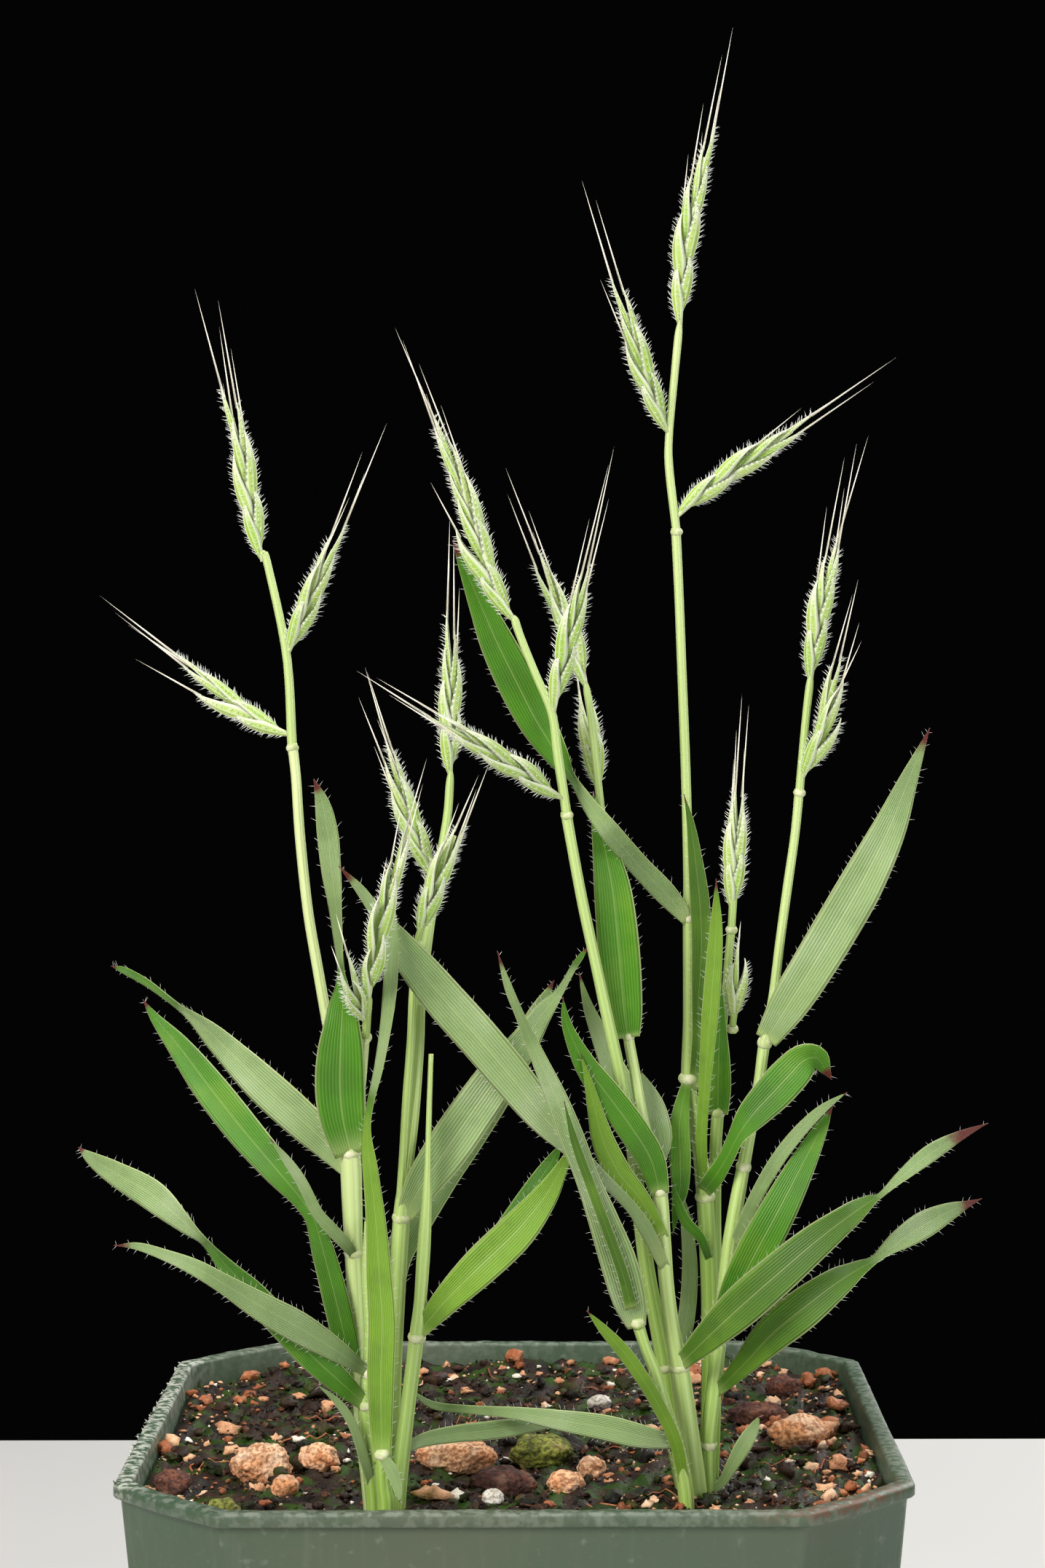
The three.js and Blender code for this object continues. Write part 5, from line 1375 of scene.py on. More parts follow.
HEADS = [
    FlowerHead(
        "left_tall_head",
        rods=[[[-30.35, 183.3, -31.4, 1.2], [-31, 194.8, -31, 1.1], [-33.5, 207, -30.5, 1],
            [-34.3, 209, -30.4, 1]]],
        spikelets=[
            Spikelet([[-34.2, 207.5, -30.5], [-35.3, 213, -30], [-36.5, 220, -29.5], [-38.3, 227, -29],
                [-39.9, 233, -28.6]], scales=6, awn=12),
            Spikelet([[-30.8, 195, -31], [-29.5, 198, -31.6], [-27, 204, -32.4], [-24.5, 209, -33.2],
                [-22, 214.5, -34]], scales=5, awn=11),
            Spikelet([[-30.6, 183.8, -31.4], [-35, 186, -30.4], [-39, 189, -29.2], [-43.5, 191.7, -28],
                [-48, 194.5, -27]], scales=5, awn=11),
        ],
    ),
    FlowerHead(
        "left_middle_head",
        rods=[[[-10.84, 163.3, -29.7, 1.2], [-9.2, 172, -29.2, 1.1], [-8.6, 179, -28.8, 1]]],
        spikelets=[
            Spikelet([[-8.7, 178, -28.8], [-8.6, 185, -28.4], [-8.6, 193, -28],
                [-8.5, 202, -27.6]], scales=6, awn=11),
            Spikelet([[-11, 164, -29.8], [-12.6, 168, -30.6], [-14.3, 173, -31.4], [-15.6, 179, -32],
                [-16.6, 186, -32.4]], scales=6, awn=9),
        ],
    ),
    FlowerHead(
        "left_small_head",
        rods=[],
        spikelets=[
            Spikelet([[-13.1, 156.2, -32.6], [-11.8, 160, -33.4], [-9.8, 165, -33.6], [-8.2, 170, -33.4],
                [-7.4, 173, -33.2]], scales=5, awn=7),
        ],
    ),
    FlowerHead(
        "left_leaning_head",
        rods=[[[-20.4, 143.1, -35.9, 1.1], [-20.2, 145.5, -38, 1], [-20, 148, -40.6, 1]]],
        spikelets=[
            Spikelet([[-20.1, 147, -39.8], [-19.4, 151.5, -42.4], [-18.4, 156.5, -43.4], [-16.9, 162, -43.8],
                [-15.2, 167, -44], [-13.6, 171.5, -44.2]], scales=6, awn=7, turn=20),
            Spikelet([[-20.4, 144.4, -36.9], [-21, 146, -38.6], [-21.5, 149, -39.8],
                [-21.9, 154, -40.2]], scales=3, awn=6),
        ],
    ),
    FlowerHead(
        "centre_head",
        rods=[[[7.05, 173.9, -34.1, 1.2], [6, 181, -34.2, 1.2], [5.2, 186.7, -34.3, 1.1], [3, 192, -34.4, 1],
            [1, 197, -34.5, 1], [0, 200, -34.6, 1]]],
        spikelets=[
            Spikelet([[0.3, 199, -34.6], [-2.5, 204, -34.8], [-4.5, 210, -35], [-7, 217, -35], [-9, 221, -35],
                [-11, 226, -35]], scales=8, awn=11),
            Spikelet([[5.4, 186.6, -34.4], [6.5, 192, -35.2], [7.7, 197, -36], [8.8, 203, -36.6],
                [9.7, 208.5, -37]], scales=5, awn=13),
            Spikelet([[6.6, 175, -34.4], [3, 177.5, -36.4], [-1, 180, -38.4], [-5, 182.5, -40],
                [-9, 184.5, -41.4], [-13, 186.6, -42.4]], scales=6, awn=9),
        ],
    ),
    FlowerHead(
        "centre_back_head",
        rods=[[[11.88, 173.7, -26.8, 1], [11.3, 179, -26.8, 1], [10.6, 186, -26.8, 1],
            [9.8, 191, -26.6, 0.9]]],
        spikelets=[
            Spikelet([[11.7, 176, -26.4], [10.9, 181, -25.4], [10, 186, -24.8],
                [9.2, 191, -24.4]], scales=5, awn=4),
            Spikelet([[10, 190, -26.6], [8.5, 195, -26.6], [6.5, 200, -26.6], [5, 205, -26.4],
                [3.5, 209.5, -26.2]], scales=5, awn=9),
        ],
    ),
    FlowerHead(
        "right_tallest_head",
        rods=[[[22.15, 212.5, -18, 1.1], [21.3, 220, -17.6, 1.1], [21.3, 224.4, -17.4, 1], [22, 232, -17, 1],
            [22.8, 240, -16.6, 1]]],
        spikelets=[
            Spikelet([[22.8, 239, -16.6], [23.1, 244, -16.4], [23.8, 250, -16.2], [25, 256, -16],
                [26.3, 262, -15.8], [27.5, 267.5, -15.6]], scales=7, awn=11),
            Spikelet([[21.2, 224.7, -17.5], [19.5, 229, -18.4], [17.5, 235, -19.4], [15.5, 241, -20.4],
                [13.2, 248, -21.4]], scales=6, awn=11),
            Spikelet([[22.2, 213.3, -18], [26, 216.5, -17.4], [30, 219.3, -16.6], [34, 222, -15.6],
                [38, 225, -14.6], [42, 227.6, -13.6]], scales=6, awn=11),
        ],
    ),
    FlowerHead(
        "right_leaning_head",
        rods=[[[39.1, 176.9, -21.5, 1.1], [39.8, 185, -21.2, 1], [40.6, 192, -21, 1]]],
        spikelets=[
            Spikelet([[40.5, 190.5, -21], [41.2, 196, -20.8], [42.2, 201, -20.6], [44, 206, -20.4],
                [46, 211.5, -20.2]], scales=6, awn=13),
            Spikelet([[39.3, 177.6, -21.6], [41, 181, -22.6], [42.3, 186, -23.4], [43.6, 191, -24],
                [44.8, 196.5, -24.4]], scales=5, awn=9),
        ],
    ),
    FlowerHead(
        "right_short_head",
        rods=[[[29.76, 158.1, -19.6, 1], [30.1, 164, -19.4, 1]]],
        spikelets=[
            Spikelet([[29.8, 159.5, -19.6], [30.1, 165, -19.4], [30.4, 171, -19.2],
                [30.7, 179, -19]], scales=6, awn=10),
        ],
    ),
    FlowerHead(
        "right_small_head",
        rods=[],
        spikelets=[Spikelet([[29.9, 144.4, -20.6], [30.2, 147, -20.9], [30.7, 150, -21]], scales=2, awn=1.5)],
    ),
]


class Substance(Enum):
    """What a loose lump in the soil is made of, which names its material too."""

    CLAY = "clay"
    BARK = "bark"
    PERLITE = "perlite"
    MOSS = "moss"


@dataclass(frozen=True)
class LumpFinish:
    """Crusty lump: two tones over one another, darker pits and a green or dusty film."""

    substance: Substance
    light: Colour
    dark: Colour
    pit: Colour
    film: Colour
    film_share: float

    def make(self) -> Material:
        """Build the material, which reads no looks.

        Returns:
            The material.
        """
        palette = Palette(f"{self.substance.value} lump", roughness=0.9, depth=0.02)
        broad = palette.grain(220.0, 6.0)
        fine = palette.grain(1800.0, 6.0)
        colour = palette.mix(palette.span(broad, 0.36, 0.64), self.dark, self.light)
        colour = palette.coat(colour, self.pit, palette.span(fine, 0.58, 0.42), 0.75)
        crumbs = palette.span(palette.cells(900.0), 0.42, 0.12)
        colour = palette.coat(colour, self.light, crumbs, 0.3)
        film = palette.span(palette.grain(330.0, 5.0), 0.52, 0.72)
        colour = palette.coat(colour, self.film, film, self.film_share)
        height = palette.sum("ADD", fine, palette.sum("MULTIPLY", crumbs, 0.5))
        palette.relief(height, 0.0004, 0.9)
        return palette.finish(colour)


LUMP_FINISHES = [
    LumpFinish(
        Substance.CLAY, light=(0.96, 0.60, 0.36), dark=(0.80, 0.35, 0.15), pit=(0.28, 0.08, 0.026),
        film=(0.95, 0.76, 0.58), film_share=0.4,
    ),
    LumpFinish(
        Substance.BARK, light=(0.20, 0.065, 0.035), dark=(0.07, 0.022, 0.016), pit=(0.018, 0.008, 0.007),
        film=(0.42, 0.24, 0.15), film_share=0.3,
    ),
    LumpFinish(
        Substance.PERLITE, light=(0.86, 0.83, 0.77), dark=(0.7, 0.65, 0.56), pit=(0.35, 0.28, 0.2),
        film=(0.6, 0.58, 0.4), film_share=0.3,
    ),
    LumpFinish(
        Substance.MOSS, light=(0.36, 0.38, 0.06), dark=(0.16, 0.18, 0.025), pit=(0.03, 0.03, 0.008),
        film=(0.60, 0.42, 0.18), film_share=0.45,
    ),
]


@dataclass
class Lump:
    """A rough lump that sits half sunk in the top of the soil."""

    name: str
    at: Spot
    half: tuple[float, float, float]
    turn: float
    substance: Substance
    detail: int = 4
    raised: float = 0.45
    fullness: float = 0.95
    bulge: float = 0.2
    dent: float = 0.09
    knob: float = 0.05
    pit: float = 0.03
    grains: tuple[float, float, float, float] = (1.4, 4.0, 11.0, 23.0)

    def swell(self, spot: Vector, shift: Vector) -> float:
        """Work out how far the lump bulges in a direction.

        Args:
            spot: The direction, of length 1.
            shift: Which stretch of the noise cuts the lump.

        Returns:
            Its reach there, as a share of its half sizes.
        """
        bulge, dent, knob, pit = (noise.noise(spot * grain + shift) for grain in self.grains)
        fine = self.knob * knob - self.pit * abs(pit)
        return self.fullness + self.bulge * bulge + self.dent * dent + fine

    def build(self, finish: Material, seed: int) -> Piece:
        """Build the lump as a finely cratered ball.

        Args:
            finish: Its material.
            seed: Which stretch of the noise its shape is cut by.

        Returns:
            The piece, which stands for the solid lump of its name.
        """
        skin = Skin(f"rough_{self.name}")
        shift = Vector((seed * 7.3, seed * 3.1, seed * 5.7))
        turn = math.radians(self.turn)
        lift = GROUND.height(*self.at) + self.half[2] * self.raised
        points, faces = ball(self.detail)
        shaped, looks = [], []
        for point in points:
            spot = point.normalized()
            swell = self.swell(spot, shift)
            x, y, z = (spot[k] * self.half[k] * swell for k in range(3))
            shaped.append(Vector((*spun(x, y, turn, self.at), lift + z)))
            looks.append((spot.x, spot.z, 0.5))
        skin.add(shaped, faces, looks, 0)
        return skin.make([finish], self.substance.value, [self.name])


LUMPS = [
    Lump("clay_lump_front", (-33.4, -16.5), (4.3, 3.6, 3.2), 10, Substance.CLAY, 5),
    Lump("clay_lump_long", (-26.2, -14.5), (3.2, 2.2, 2), -35, Substance.CLAY, 5),
    Lump("clay_lump_small", (-29.6, -27.2), (2.1, 1.8, 1.6), 50, Substance.CLAY),
    Lump("clay_slab", (-8, -15.8), (5.6, 3.2, 2.6), -8, Substance.CLAY, 5),
    Lump("mossy_lump", (3.4, -10.5), (4.4, 4, 2.7), 25, Substance.MOSS, 5),
    Lump("clay_lump_middle", (10, -17.6), (2, 1.9, 2), 0, Substance.CLAY),
    Lump("clay_lump_low", (6.6, -27.5), (2.6, 2, 1.9), 15, Substance.CLAY),
    Lump("bark_chip", (-1.6, -26.6), (4.6, 3, 2.2), -20, Substance.BARK, 5),
    Lump("perlite_front", (-2.6, -34.6), (1.5, 1.3, 1.2), 0, Substance.PERLITE),
    Lump("perlite_back", (11.8, 20.3), (1.9, 1.4, 1.2), 30, Substance.PERLITE),
    Lump("clay_lump_right", (38.6, -2), (4.4, 3, 2.4), 12, Substance.CLAY),
    Lump("bark_chip_right", (34, 9.6), (4.6, 2.4, 1.9), -15, Substance.BARK),
    Lump("bark_chip_back", (39, 30), (3, 2.4, 2), 40, Substance.BARK),
    Lump("mossy_lump_left", (-36.4, -40), (2.4, 1.8, 1.8), 0, Substance.MOSS),
    Lump("bark_chip_left", (-44.2, -27), (2.4, 3.2, 1.8), 30, Substance.BARK),
    Lump("clay_lump_back", (-20, 28), (3.2, 2.6, 2.2), -30, Substance.CLAY),
]


@dataclass(frozen=True)
class PlasticFinish:
    """Worn matt green plastic: dusty, scuffed pale on its worn left edges, with a painted highlight line
    along the edges of the other sides, smeared with dried soil.
    """

    green: Colour = (0.045, 0.092, 0.050)
    grey: Colour = (0.095, 0.110, 0.070)
    scuff_and_highlight: Colour = (0.60, 0.62, 0.54)
    soil: Colour = (0.13, 0.07, 0.04)

    def make(self) -> Material:
        """Build the material; looks are edge wear with a painted edge highlight, height share and soil smear.

        Returns:
            The material.
        """
        palette = Palette("worn green plastic", roughness=0.5)
        wear_and_highlight, _, smear = palette.look()
        dust = palette.grain(24.0, 7.0)
        speck = palette.grain(1100.0, 4.0)
        fleck = palette.grain(520.0, 6.0)
        streak = palette.grain(650.0, 4.0, (1.0, 1.0, 0.05))
        colour = palette.coat(self.green, self.grey, palette.span(dust, 0.3, 0.75), 0.8)
        colour = palette.coat(colour, self.grey, palette.span(speck, 0.56, 0.72), 0.55)
        colour = palette.coat(colour, self.scuff_and_highlight, palette.span(fleck, 0.62, 0.78), 0.14)
        colour = palette.coat(colour, self.scuff_and_highlight, palette.span(streak, 0.5, 0.85), 0.05)
        # Pale edges: real wear on the frayed left side, a painted highlight line along the lip on the other
        # sides.
        broken = palette.span(palette.grain(900.0, 6.0), 0.42, 0.6)
        colour = palette.coat(colour, self.scuff_and_highlight, wear_and_highlight, broken)
        crust = palette.span(palette.grain(800.0, 6.0), 0.4, 0.56)
        colour = palette.coat(colour, self.soil, smear, crust)
        rough = palette.sum("ADD", palette.sum("MULTIPLY", dust, 0.4), 0.28)
        palette.feed(palette.shader.inputs["Roughness"], rough)
        palette.relief(palette.sum("ADD", speck, palette.sum("MULTIPLY", fleck, 0.8)), 0.00008, 0.5)
        return palette.finish(colour)


@dataclass(frozen=True)
class PeatFinish:
    """Peat and its crumbs: near-black to red-brown, tan and white by each crumb's tone; the white is partly
    pale grit and partly painted glints on the wet peat.
    """

    black: Colour = (0.009, 0.008, 0.006)
    brown: Colour = (0.05, 0.024, 0.016)
    rust: Colour = (0.42, 0.135, 0.055)
    tan: Colour = (0.84, 0.48, 0.27)
    white: Colour = (0.90, 0.84, 0.72)
    algae: Colour = (0.030, 0.080, 0.006)

    def make(self) -> Material:
        """Build the material; the third look is a crumb's tone and the first its film of algae.

        Returns:
            The material.
        """
        palette = Palette("peat", roughness=0.5, gloss=0.18)
        film, _, tone = palette.look()
        stops = [(0.0, self.black), (0.35, self.brown), (0.62, self.rust)]
        # The white stop is partly pale grit and partly painted glints on the wet peat.
        stops += [(0.82, self.tan), (0.97, self.white)]
        uneven = palette.sum("MULTIPLY", palette.sum("SUBTRACT", palette.grain(1500.0, 5.0), 0.5), 0.3)
        colour = palette.ramp(palette.sum("ADD", tone, uneven), stops)
        patch = palette.sum("MULTIPLY", film, palette.span(palette.grain(240.0, 6.0), 0.48, 0.62))
        colour = palette.coat(colour, self.algae, patch, 0.75)
        palette.relief(palette.grain(2200.0, 5.0), 0.0003, 0.8)
        return palette.finish(colour)


@dataclass
class Pot:
    """A square plastic pot with bowed corner faces, a rolled lip and four drain holes."""

    width: float = POT_WIDTH
    height: float = POT_HEIGHT
    corner: float = 14.5
    corner_bow: float = 0.7
    corner_softness: float = 4.2
    taper: float = 0.09
    wall: float = 1.6
    floor: float = 2.0
    lip_height: float = 2.0
    lip_reach: float = POT_LIP_REACH
    drain_radius: float = 4.5
    drain_reach: float = 26.0
    crease: float = 0.9
    side_steps: int = 40
    bend_steps: int = 5
    warp: float = 0.16
    warp_grain: float = 0.045
    frayed_from: float = 0.8
    fray: float = 0.22
    fray_grain: float = 0.9
    fray_drop: float = 0.12
    # The pale edge is real wear on the worn left side and a painted highlight line along the edges of the
    # other sides.
    worn_side: float = 0.85
    worn_side_width: float = 3.0
    highlight_on_other_sides: float = 0.2
    smear_at: Spot = (43.0, -46.0)
    smear_from: float = 89.0
    smear_reach: float = 11.0
    smear_strength: float = 1.5
    burrs: int = 280
    burr_seed: int = 5

    def half(self, height: float) -> float:
        """Give half the body's width at a height."""
        return self.width / 2 - self.lip_reach - (self.height - height) * self.taper

    def outline(self, half: float) -> list[Vector]:
        """Walk once round the pot at a half width.

        Args:
            half: Half the width between two opposite flat sides.

        Returns:
            Places on the plane, with soft bends where sides and corner faces meet.
        """
        corner = self.corner * half / (self.width / 2)
        middle = half - corner / 2 + self.corner_bow / math.sqrt(2)
        bends = []
        for quarter in range(4):
            turn = quarter * math.pi / 2
            for x, y in ((half, half - corner), (middle, middle), (half - corner, half)):
                bends.append(Vector(spun(x, y, turn)))
        points = []
        for i, bend in enumerate(bends):
            before, after = bends[i - 1], bends[(i + 1) % len(bends)]
            reach = self.corner_softness if i % 3 == 1 else self.crease
            start = bend + (before - bend).normalized() * reach
            end = bend + (after - bend).normalized() * reach
            for k in range(self.bend_steps + 1):
                f = k / self.bend_steps
                points.append(start * (1 - f) ** 2 + bend * (2 * f * (1 - f)) + end * f * f)
            if i % 3 == 2:
                goal = after + (bend - after).normalized() * self.crease
                points.extend(end.lerp(goal, k / self.side_steps) for k in range(1, self.side_steps))
        return points

    def profile(self) -> list[tuple[float, float, float]]:
        """List the pot's section from the outer foot over the lip to the floor inside.

        Returns:
            The height, half width and edge wear of each ring; on the sides other than the left this paints a
            highlight instead.
        """
        lip = self.width / 2
        foot = self.height - self.lip_height
        base = self.half(0.0)
        rows = [(0.0, base - 0.9, 0.5), (0.25, base - 0.25, 0.6), (0.9, self.half(0.9), 0.3)]
        rows += [(h, self.half(h), 0.0) for h in (12.0, 30.0, 50.0, 68.0, 80.0, foot - 0.5)]
        rows += [(foot - 0.05, self.half(foot) + 0.1, 0.1), (foot + 0.1, lip - 0.2, 0.35)]
        top = self.height
        rows += [(foot + 0.35, lip, 0.5), (top - 0.55, lip, 0.4), (top - 0.2, lip - 0.12, 1.0)]
        inner = self.half(top) - self.wall
        rows += [(top, lip - 0.5, 1.0), (top, inner + 0.35, 0.9), (top - 0.15, inner + 0.08, 0.8)]
        inside = ((89.4, 0.3), (84.0, 0.0), (60.0, 0.0), (30.0, 0.0), (self.floor, 0.0))
        rows += [(h, self.half(h) - self.wall, wear_and_highlight) for h, wear_and_highlight in inside]
        return rows

    def build(self, finish: Material) -> Piece:
        """Build the pot as one piece.

        Args:
            finish: Its material.

        Returns:
            The piece, which stands for the solid pot.
        """
        skin = Skin("square_pot")
        rings, looks = [], []
        for height, half, wear_and_highlight in self.profile():
            ring, look = [], []
            for place in self.outline(half):
                spot = Vector((place.x, place.y, height))
                warp = self.warp * noise.noise(spot * self.warp_grain) * (height / self.height)
                frayed = wear_and_highlight >= self.frayed_from
                fray = self.fray * noise.noise(spot * self.fray_grain) * frayed - self.fray_drop * frayed
                outward = Vector((place.x, place.y, 0)).normalized()
                ring.append(spot + outward * (warp - self.warp) + Vector((0, 0, fray)))
                distance = (place - Vector(self.smear_at)).length
                smear = max(0.0, self.smear_strength - distance / self.smear_reach)
                # The left side's pale edge is real wear; the other sides take a weaker share that paints a
                # highlight line along the lip.
                left = place.x < self.worn_side_width - self.width / 2
                edge_wear_and_highlight = self.worn_side if left else self.highlight_on_other_sides
                look.append((wear_and_highlight * edge_wear_and_highlight, height / self.height, smear * (height > self.smear_from)))
            rings.append(ring)
            looks.append(look)
        skin.tube(rings, looks, 0)
        self.add_burrs(skin, random.Random(self.burr_seed))
        piece = skin.make([finish], "pot", ["pot"])
        self.drill(piece, skin)
        return piece

    def add_burrs(self, skin: Skin, draw: Draw) -> None:
        """Add the frayed slivers that stand on the left side of the worn rim.

        Args:
            skin: The pot's skin.
            draw: The random draw for their places and leans.
        """
        # They stand a little inside the lip, on the straight part of the side.
        edge = self.width / 2 - 0.35
        for _ in range(self.burrs):
            y = draw.gauss(-4.0, 17.0)
            if abs(y) > self.width / 2 - self.corner:
                continue
            root = Vector((-edge + draw.uniform(-0.1, 0.25), y, self.height - draw.uniform(0.1, 0.9)))
            lean = Vector((draw.uniform(-1.0, -0.1), draw.uniform(-0.7, 0.7), draw.uniform(-0.2, 1.0)))
            tip = root + lean.normalized() * draw.uniform(0.2, 0.75)
            skin.needle(root, tip, draw.uniform(0.15, 0.4), (3.0, 1.0, 0.0), 0)

    def drill(self, piece: Piece, skin: Skin) -> None:
        """Cut the four drain holes through the pot's floor and restore the looks of its skin.

        Args:
            piece: The pot.
            skin: The skin that it was made from.
        """
        form = bmesh.new()
        for x, y in ((1, 0), (0, 1), (-1, 0), (0, -1)):
            place = Matrix.Translation(Vector((x, y, 0)) * self.drain_reach * MM)
            radius, depth = self.drain_radius * MM, self.floor * 3 * MM
            bmesh.ops.create_cone(
                form, cap_ends=True, segments=40, radius1=radius, radius2=radius, depth=depth, matrix=place
            )
        cutter_mesh = bpy.data.meshes.new("drain cutter")
        form.to_mesh(cutter_mesh)
        form.free()
        cutter = put("drain cutter", cutter_mesh)
        cut = piece.modifiers.new("drain", "BOOLEAN")
        cut.object = cutter
        cut.solver = "EXACT"
        ready = piece.evaluated_get(bpy.context.evaluated_depsgraph_get())
        mesh = bpy.data.meshes.new_from_object(ready)
        piece.modifiers.clear()
        piece.data = mesh
        bpy.data.objects.remove(cutter)
        nearest = kdtree.KDTree(len(skin.points))
        for index, point in enumerate(skin.points):
            nearest.insert(point * MM, index)
        nearest.balance()
        for vertex, look in zip(mesh.vertices, mesh.attributes["look"].data):
            look.vector = skin.looks[nearest.find(vertex.co)[1]]


@dataclass
class Soil:
    """The peat that fills the pot: a rough bed with crumbs and dead rootlets strewn on it."""

    pot: Pot
    clearance: float = 0.35
    rings: int = 70
    rim_level: float = 84.0
    ring_crowding: float = 0.8
    sunk: float = 0.45
    crumbs: int = 4400
    stones: int = 1150
    strewn_level: float = 86.0
    strewn_margin: float = 0.4
    stone_sizes: Spot = (0.4, 1.0)
    crumb_sizes: Spot = (0.16, 0.45)
    growths: Spot = (1.4, 2.3)
    peat_tones: Spot = (0.0, 0.4)
    clay_tones: Spot = (0.5, 0.88)
    # Near-white crumbs: partly pale grit, partly painted glints on the wet peat.
    white_grit_and_glint_tone: float = 0.99
    white_grit_and_glint_from: float = 0.968
    algae: float = 0.6
    algae_below: float = 0.45
    rootlets: int = 60
    rootlet_margin: float = 3.0
    rootlet_step: float = 0.9
    rootlet_tones: Spot = (0.3, 0.66)
    rootlet_thicknesses: Spot = (0.06, 0.2)

    def reach(self, height: float) -> float:
        """Give half the bed's width at a height."""
        return self.pot.half(height) - self.pot.wall - self.clearance

    def top(self, x: float, y: float) -> float:
        """Work out the bed's height with its small crumbled relief.

        Args:
            x: The place across.
            y: The place in depth.

        Returns:
            The height in millimetres.
        """
        spot = Vector((x, y, 0.0))
        clods = 0.75 * abs(noise.noise(spot * 0.55)) + 0.5 * abs(noise.noise(spot * 1.3 + Vector((9, 4, 2))))
        grit = 0.25 * abs(noise.noise(spot * 3.1))
        return GROUND.height(x, y) + clods + grit - self.sunk

    def build_bed(self, finish: Material) -> Piece:
        """Build the bed as one piece.

        Args:
            finish: Its material.

        Returns:
            The piece, which stands for the solid soil.
        """
        skin = Skin("peat_bed")
        foot = self.pot.floor + self.clearance
        rim = self.pot.outline(self.reach(self.rim_level))
        rings = [[Vector((p.x, p.y, foot)) for p in self.pot.outline(self.reach(foot))]]
        for r in range(self.rings, 0, -1):
            share = (r / self.rings) ** self.ring_crowding
            spots = [(p.x * share, p.y * share) for p in rim]
            rings.append([Vector((x, y, self.top(x, y))) for x, y in spots])
        looks = [[(1.0, 0.0, 0.14 + 0.3 * noise.noise(p * 0.35)) for p in ring] for ring in rings]
        skin.tube(rings, looks, 0)
        return skin.make([finish], "soil", ["soil"])

    def build_crumbs(self, finish: Material, draw: Draw) -> Piece:
        """Strew crumbs of peat, bark and perlite over the bed; its near-white crumbs are partly pale grit and
        partly painted glints on the wet peat.

        Args:
            finish: Their material.
            draw: The random draw for their places, sizes and tones.

        Returns:
            The piece that holds them all.
        """
        skin = Skin("peat_crumbs")
        limit = self.reach(self.strewn_level) - self.strewn_margin
        for index in range(self.crumbs + self.stones):
            coarse = index < self.stones
            x, y = draw.uniform(-limit, limit), draw.uniform(-limit, limit)
            if abs(x) + abs(y) > 2 * limit - self.pot.corner + 1:
                continue  # It would lie in a cut corner of the pot.
            rich = self.richness(x, y)
            size = draw.uniform(*(self.stone_sizes if coarse else self.crumb_sizes))
            if coarse and draw.random() < 0.08 + 0.35 * rich:
                size *= draw.uniform(*self.growths)
            chance = draw.random()
            tone = draw.uniform(*self.peat_tones)
            if chance < 0.09 + 0.62 * rich:
                tone = draw.uniform(*self.clay_tones)
            # A few crumbs turn near-white: partly pale grit, partly painted glints on the wet peat.
            if chance > self.white_grit_and_glint_from:
                tone = self.white_grit_and_glint_tone
            self.add_crumb(skin, x, y, size, tone, 2 if coarse else 1, draw)
        return skin.make([finish], "soil", [])

    def richness(self, x: float, y: float) -> float:
        """Work out how much clay lies at a place: more by the back and side walls and on the right.

        Args:
            x: The place across.
            y: The place in depth.

        Returns:
            A share from 0 to 1.
        """
        half = self.reach(self.strewn_level)
        # The walls' share starts 72% of the way out, and the right side begins at 12 mm.
        wall = max(abs(x) / half, y / half)
        share = 0.75 * max(wall - 0.72, 0.0) / 0.28 + 0.3 * (x > 12)
        return min(share + 0.35 * max(noise.noise(Vector((x, y, 3.0)) * 0.12), 0.0), 1.0)

    def add_crumb(
        self, skin: Skin, x: float, y: float, size: float, tone: float, detail: int, draw: Draw
    ) -> None:
        """Add one crumb, a flattened and dented ball.

        Args:
            skin: The skin of all the crumbs.
            x: Its place across.
            y: Its place in depth.
            size: Half its width.
            tone: How pale it is.
            detail: How finely the ball is split.
            draw: The random draw for its shape.
        """
        shift = Vector((draw.uniform(0, 50), draw.uniform(0, 50), draw.uniform(0, 50)))
        scale = Vector((draw.uniform(0.7, 1.5), draw.uniform(0.6, 1.0), draw.uniform(0.45, 0.9))) * size
        turn = Matrix.Rotation(draw.uniform(0, math.tau), 3, "Z")
        turn @= Matrix.Rotation(draw.uniform(-0.5, 0.5), 3, "X")
        place = Vector((x, y, self.top(x, y) + size * 0.3))
        points, faces = ball(detail)
        shaped = []
        for point in points:
            bulge, dent = noise.noise(point * 1.4 + shift), noise.noise(point * 3.3 + shift)
            swell = 0.82 + 0.75 * bulge + 0.4 * dent
            shaped.append(place + turn @ Vector(point[k] * scale[k] * swell for k in range(3)))
        film = self.algae * (tone < self.algae_below)
        skin.add(shaped, faces, [(film, 0.0, tone)] * len(shaped), 0)

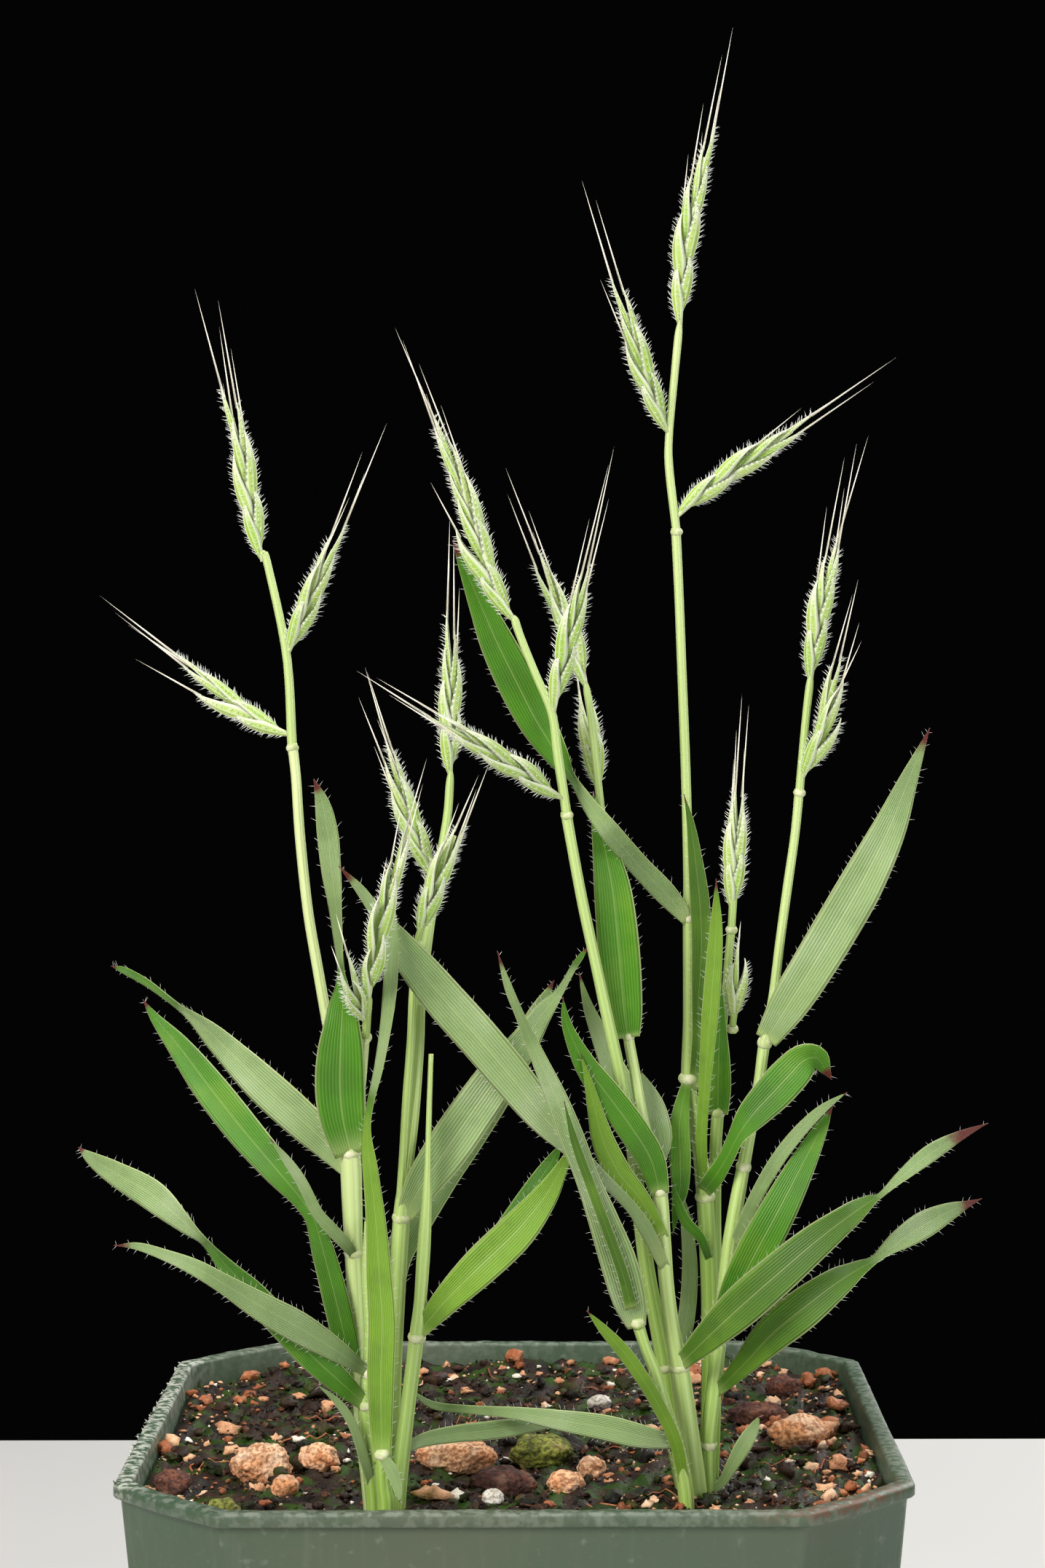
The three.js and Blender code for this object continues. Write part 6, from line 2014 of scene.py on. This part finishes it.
    def build_rootlets(self, finish: Material, draw: Draw) -> Piece:
        """Lay fine dead rootlets and straws over the bed.

        Args:
            finish: Their material.
            draw: The random draw for their places and bends.

        Returns:
            The piece that holds them all.
        """
        skin = Skin("dead_rootlets")
        limit = self.reach(self.strewn_level) - self.rootlet_margin
        for _ in range(self.rootlets):
            x, y = draw.uniform(-limit, limit), draw.uniform(-limit, limit)
            if abs(x) + abs(y) > 1.6 * limit:
                continue  # It would start in a cut corner of the pot.
            heading = draw.uniform(0, math.tau)
            bend = draw.uniform(-0.35, 0.35)
            thick = draw.uniform(*self.rootlet_thicknesses)
            tone = draw.uniform(*self.rootlet_tones)
            rings, looks = [], []
            for step in range(draw.randint(5, 11)):
                height = self.top(x, y) + 0.35 + 0.5 * abs(math.sin(step * 0.9 + heading))
                across = Vector((-math.sin(heading), math.cos(heading), 0.0))
                centre = Vector((x, y, height))
                side = across * thick
                rings.append([centre + side, centre + Vector((0, 0, thick)), centre - side])
                looks.append([(0.0, 0.0, tone)] * 3)
                x += math.cos(heading) * self.rootlet_step
                y += math.sin(heading) * self.rootlet_step
                if max(abs(x), abs(y), (abs(x) + abs(y)) / 1.75) > limit:
                    break
                heading += bend + draw.uniform(-0.3, 0.3)
            if len(rings) > 2:
                skin.tube(rings, looks, 0)
        return skin.make([finish], "soil", [])


@dataclass(frozen=True)
class Light:
    """A soft square light that looks at a spot of the plant."""

    name: str
    place: tuple[float, float, float]
    width: float
    power: float
    tint: Colour
    aim: tuple[float, float, float] = (0.0, 0.0, 0.15)

    def hang(self) -> None:
        """Hang the light in the studio."""
        lamp = bpy.data.lights.new(self.name, "AREA")
        lamp.size = self.width
        lamp.energy = self.power
        lamp.color = self.tint
        holder = put(self.name, lamp)
        holder.location = self.place
        holder.rotation_euler = (Vector(self.aim) - Vector(self.place)).to_track_quat("-Z", "Y").to_euler()


LIGHTS = [
    Light("key light", (-0.55, -0.75, 0.75), 0.5, 13.0, (1.0, 0.97, 0.92)),
    Light("fill light", (0.7, -0.8, 0.35), 0.7, 4.5, (0.95, 0.98, 1.0)),
    Light("top light", (0.05, 0.1, 1.0), 0.6, 6.0, (1.0, 1.0, 1.0)),
    Light("rim light", (0.5, 0.55, 0.5), 0.5, 4.0, (1.0, 1.0, 0.98)),
]


@dataclass
class Studio:
    """A plain pale floor, soft lights and the camera that stands where the front view does."""

    frame_height: float = 2153.0
    focal_pixels: float = 4306.5
    sensor: float = 36.0
    pitch: float = 1.74
    yaw: float = 0.42
    roll: float = -0.2
    nearest: float = 0.01
    floor_half: float = 1.2
    floor_back: float = 0.36
    floor_colour: Colour = (0.58, 0.575, 0.56)
    floor_tinge: Colour = (0.62, 0.615, 0.6)
    surroundings: Colour = (0.0012, 0.0012, 0.0012)

    def lay_floor(self) -> None:
        """Lay the pale floor under the pot."""
        wide, back = self.floor_half, self.floor_back
        mesh = bpy.data.meshes.new("pale_floor")
        corners = [(-wide, -wide, 0), (wide, -wide, 0), (wide, back, 0), (-wide, back, 0)]
        mesh.from_pydata(corners, [], [(0, 1, 2, 3)])
        palette = Palette("pale floor", roughness=0.7)
        colour = palette.mix(palette.grain(9.0), self.floor_colour, self.floor_tinge)
        mesh.materials.append(palette.finish(colour))
        floor = put("pale_floor", mesh)

    def light(self) -> None:
        """Hang the lights and set the dim even light around them."""
        for light in LIGHTS:
            light.hang()
        world = bpy.data.worlds.new("dim studio")
        world.use_nodes = True
        world.node_tree.nodes["Background"].inputs["Color"].default_value = (*self.surroundings, 1.0)
        bpy.context.scene.world = world
        bpy.context.scene.view_settings.view_transform = "Standard"

    def set_camera(self) -> None:
        """Set the camera at the standpoint of the front view."""
        yaw, pitch, roll = (math.radians(angle) for angle in (self.yaw, self.pitch, self.roll))
        turn, nod = Matrix.Rotation(-yaw, 3, "Z"), Matrix.Rotation(pitch, 3, "X")
        right, ahead, up = Matrix.Rotation(roll, 3, "Y") @ nod @ turn
        lens = bpy.data.cameras.new("camera")
        lens.sensor_fit = "VERTICAL"
        lens.sensor_height = self.sensor
        lens.lens = self.focal_pixels / self.frame_height * self.sensor
        lens.clip_start = self.nearest
        camera = put("camera", lens)
        stand = Matrix((right, up, -ahead)).transposed().to_4x4()
        camera.matrix_world = Matrix.Translation(STANDPOINT * MM) @ stand
        bpy.context.scene.camera = camera


def main() -> None:
    """Build the pot, the soil, the plant and the studio."""
    logging.basicConfig(level=logging.INFO, format="%(name)s: %(message)s")
    studio = Studio()
    studio.set_camera()
    living = [finish.make() for finish in LIVING_FINISHES]
    for seed, stem in enumerate(STEMS):
        stem.build(living, STEM_SEED + seed)
    for seed, head in enumerate(HEADS):
        head.build(living, HEAD_SEED + seed)
    finishes = {finish.substance: finish.make() for finish in LUMP_FINISHES}
    for seed, lump in enumerate(LUMPS):
        lump.build(finishes[lump.substance], seed)
    pot = Pot()
    pot.build(PlasticFinish().make())
    soil = Soil(pot)
    peat = PeatFinish().make()
    soil.build_bed(peat)
    soil.build_crumbs(peat, random.Random(CRUMB_SEED))
    soil.build_rootlets(peat, random.Random(ROOTLET_SEED))
    studio.lay_floor()
    studio.light()


if __name__ == "__main__":
    main()
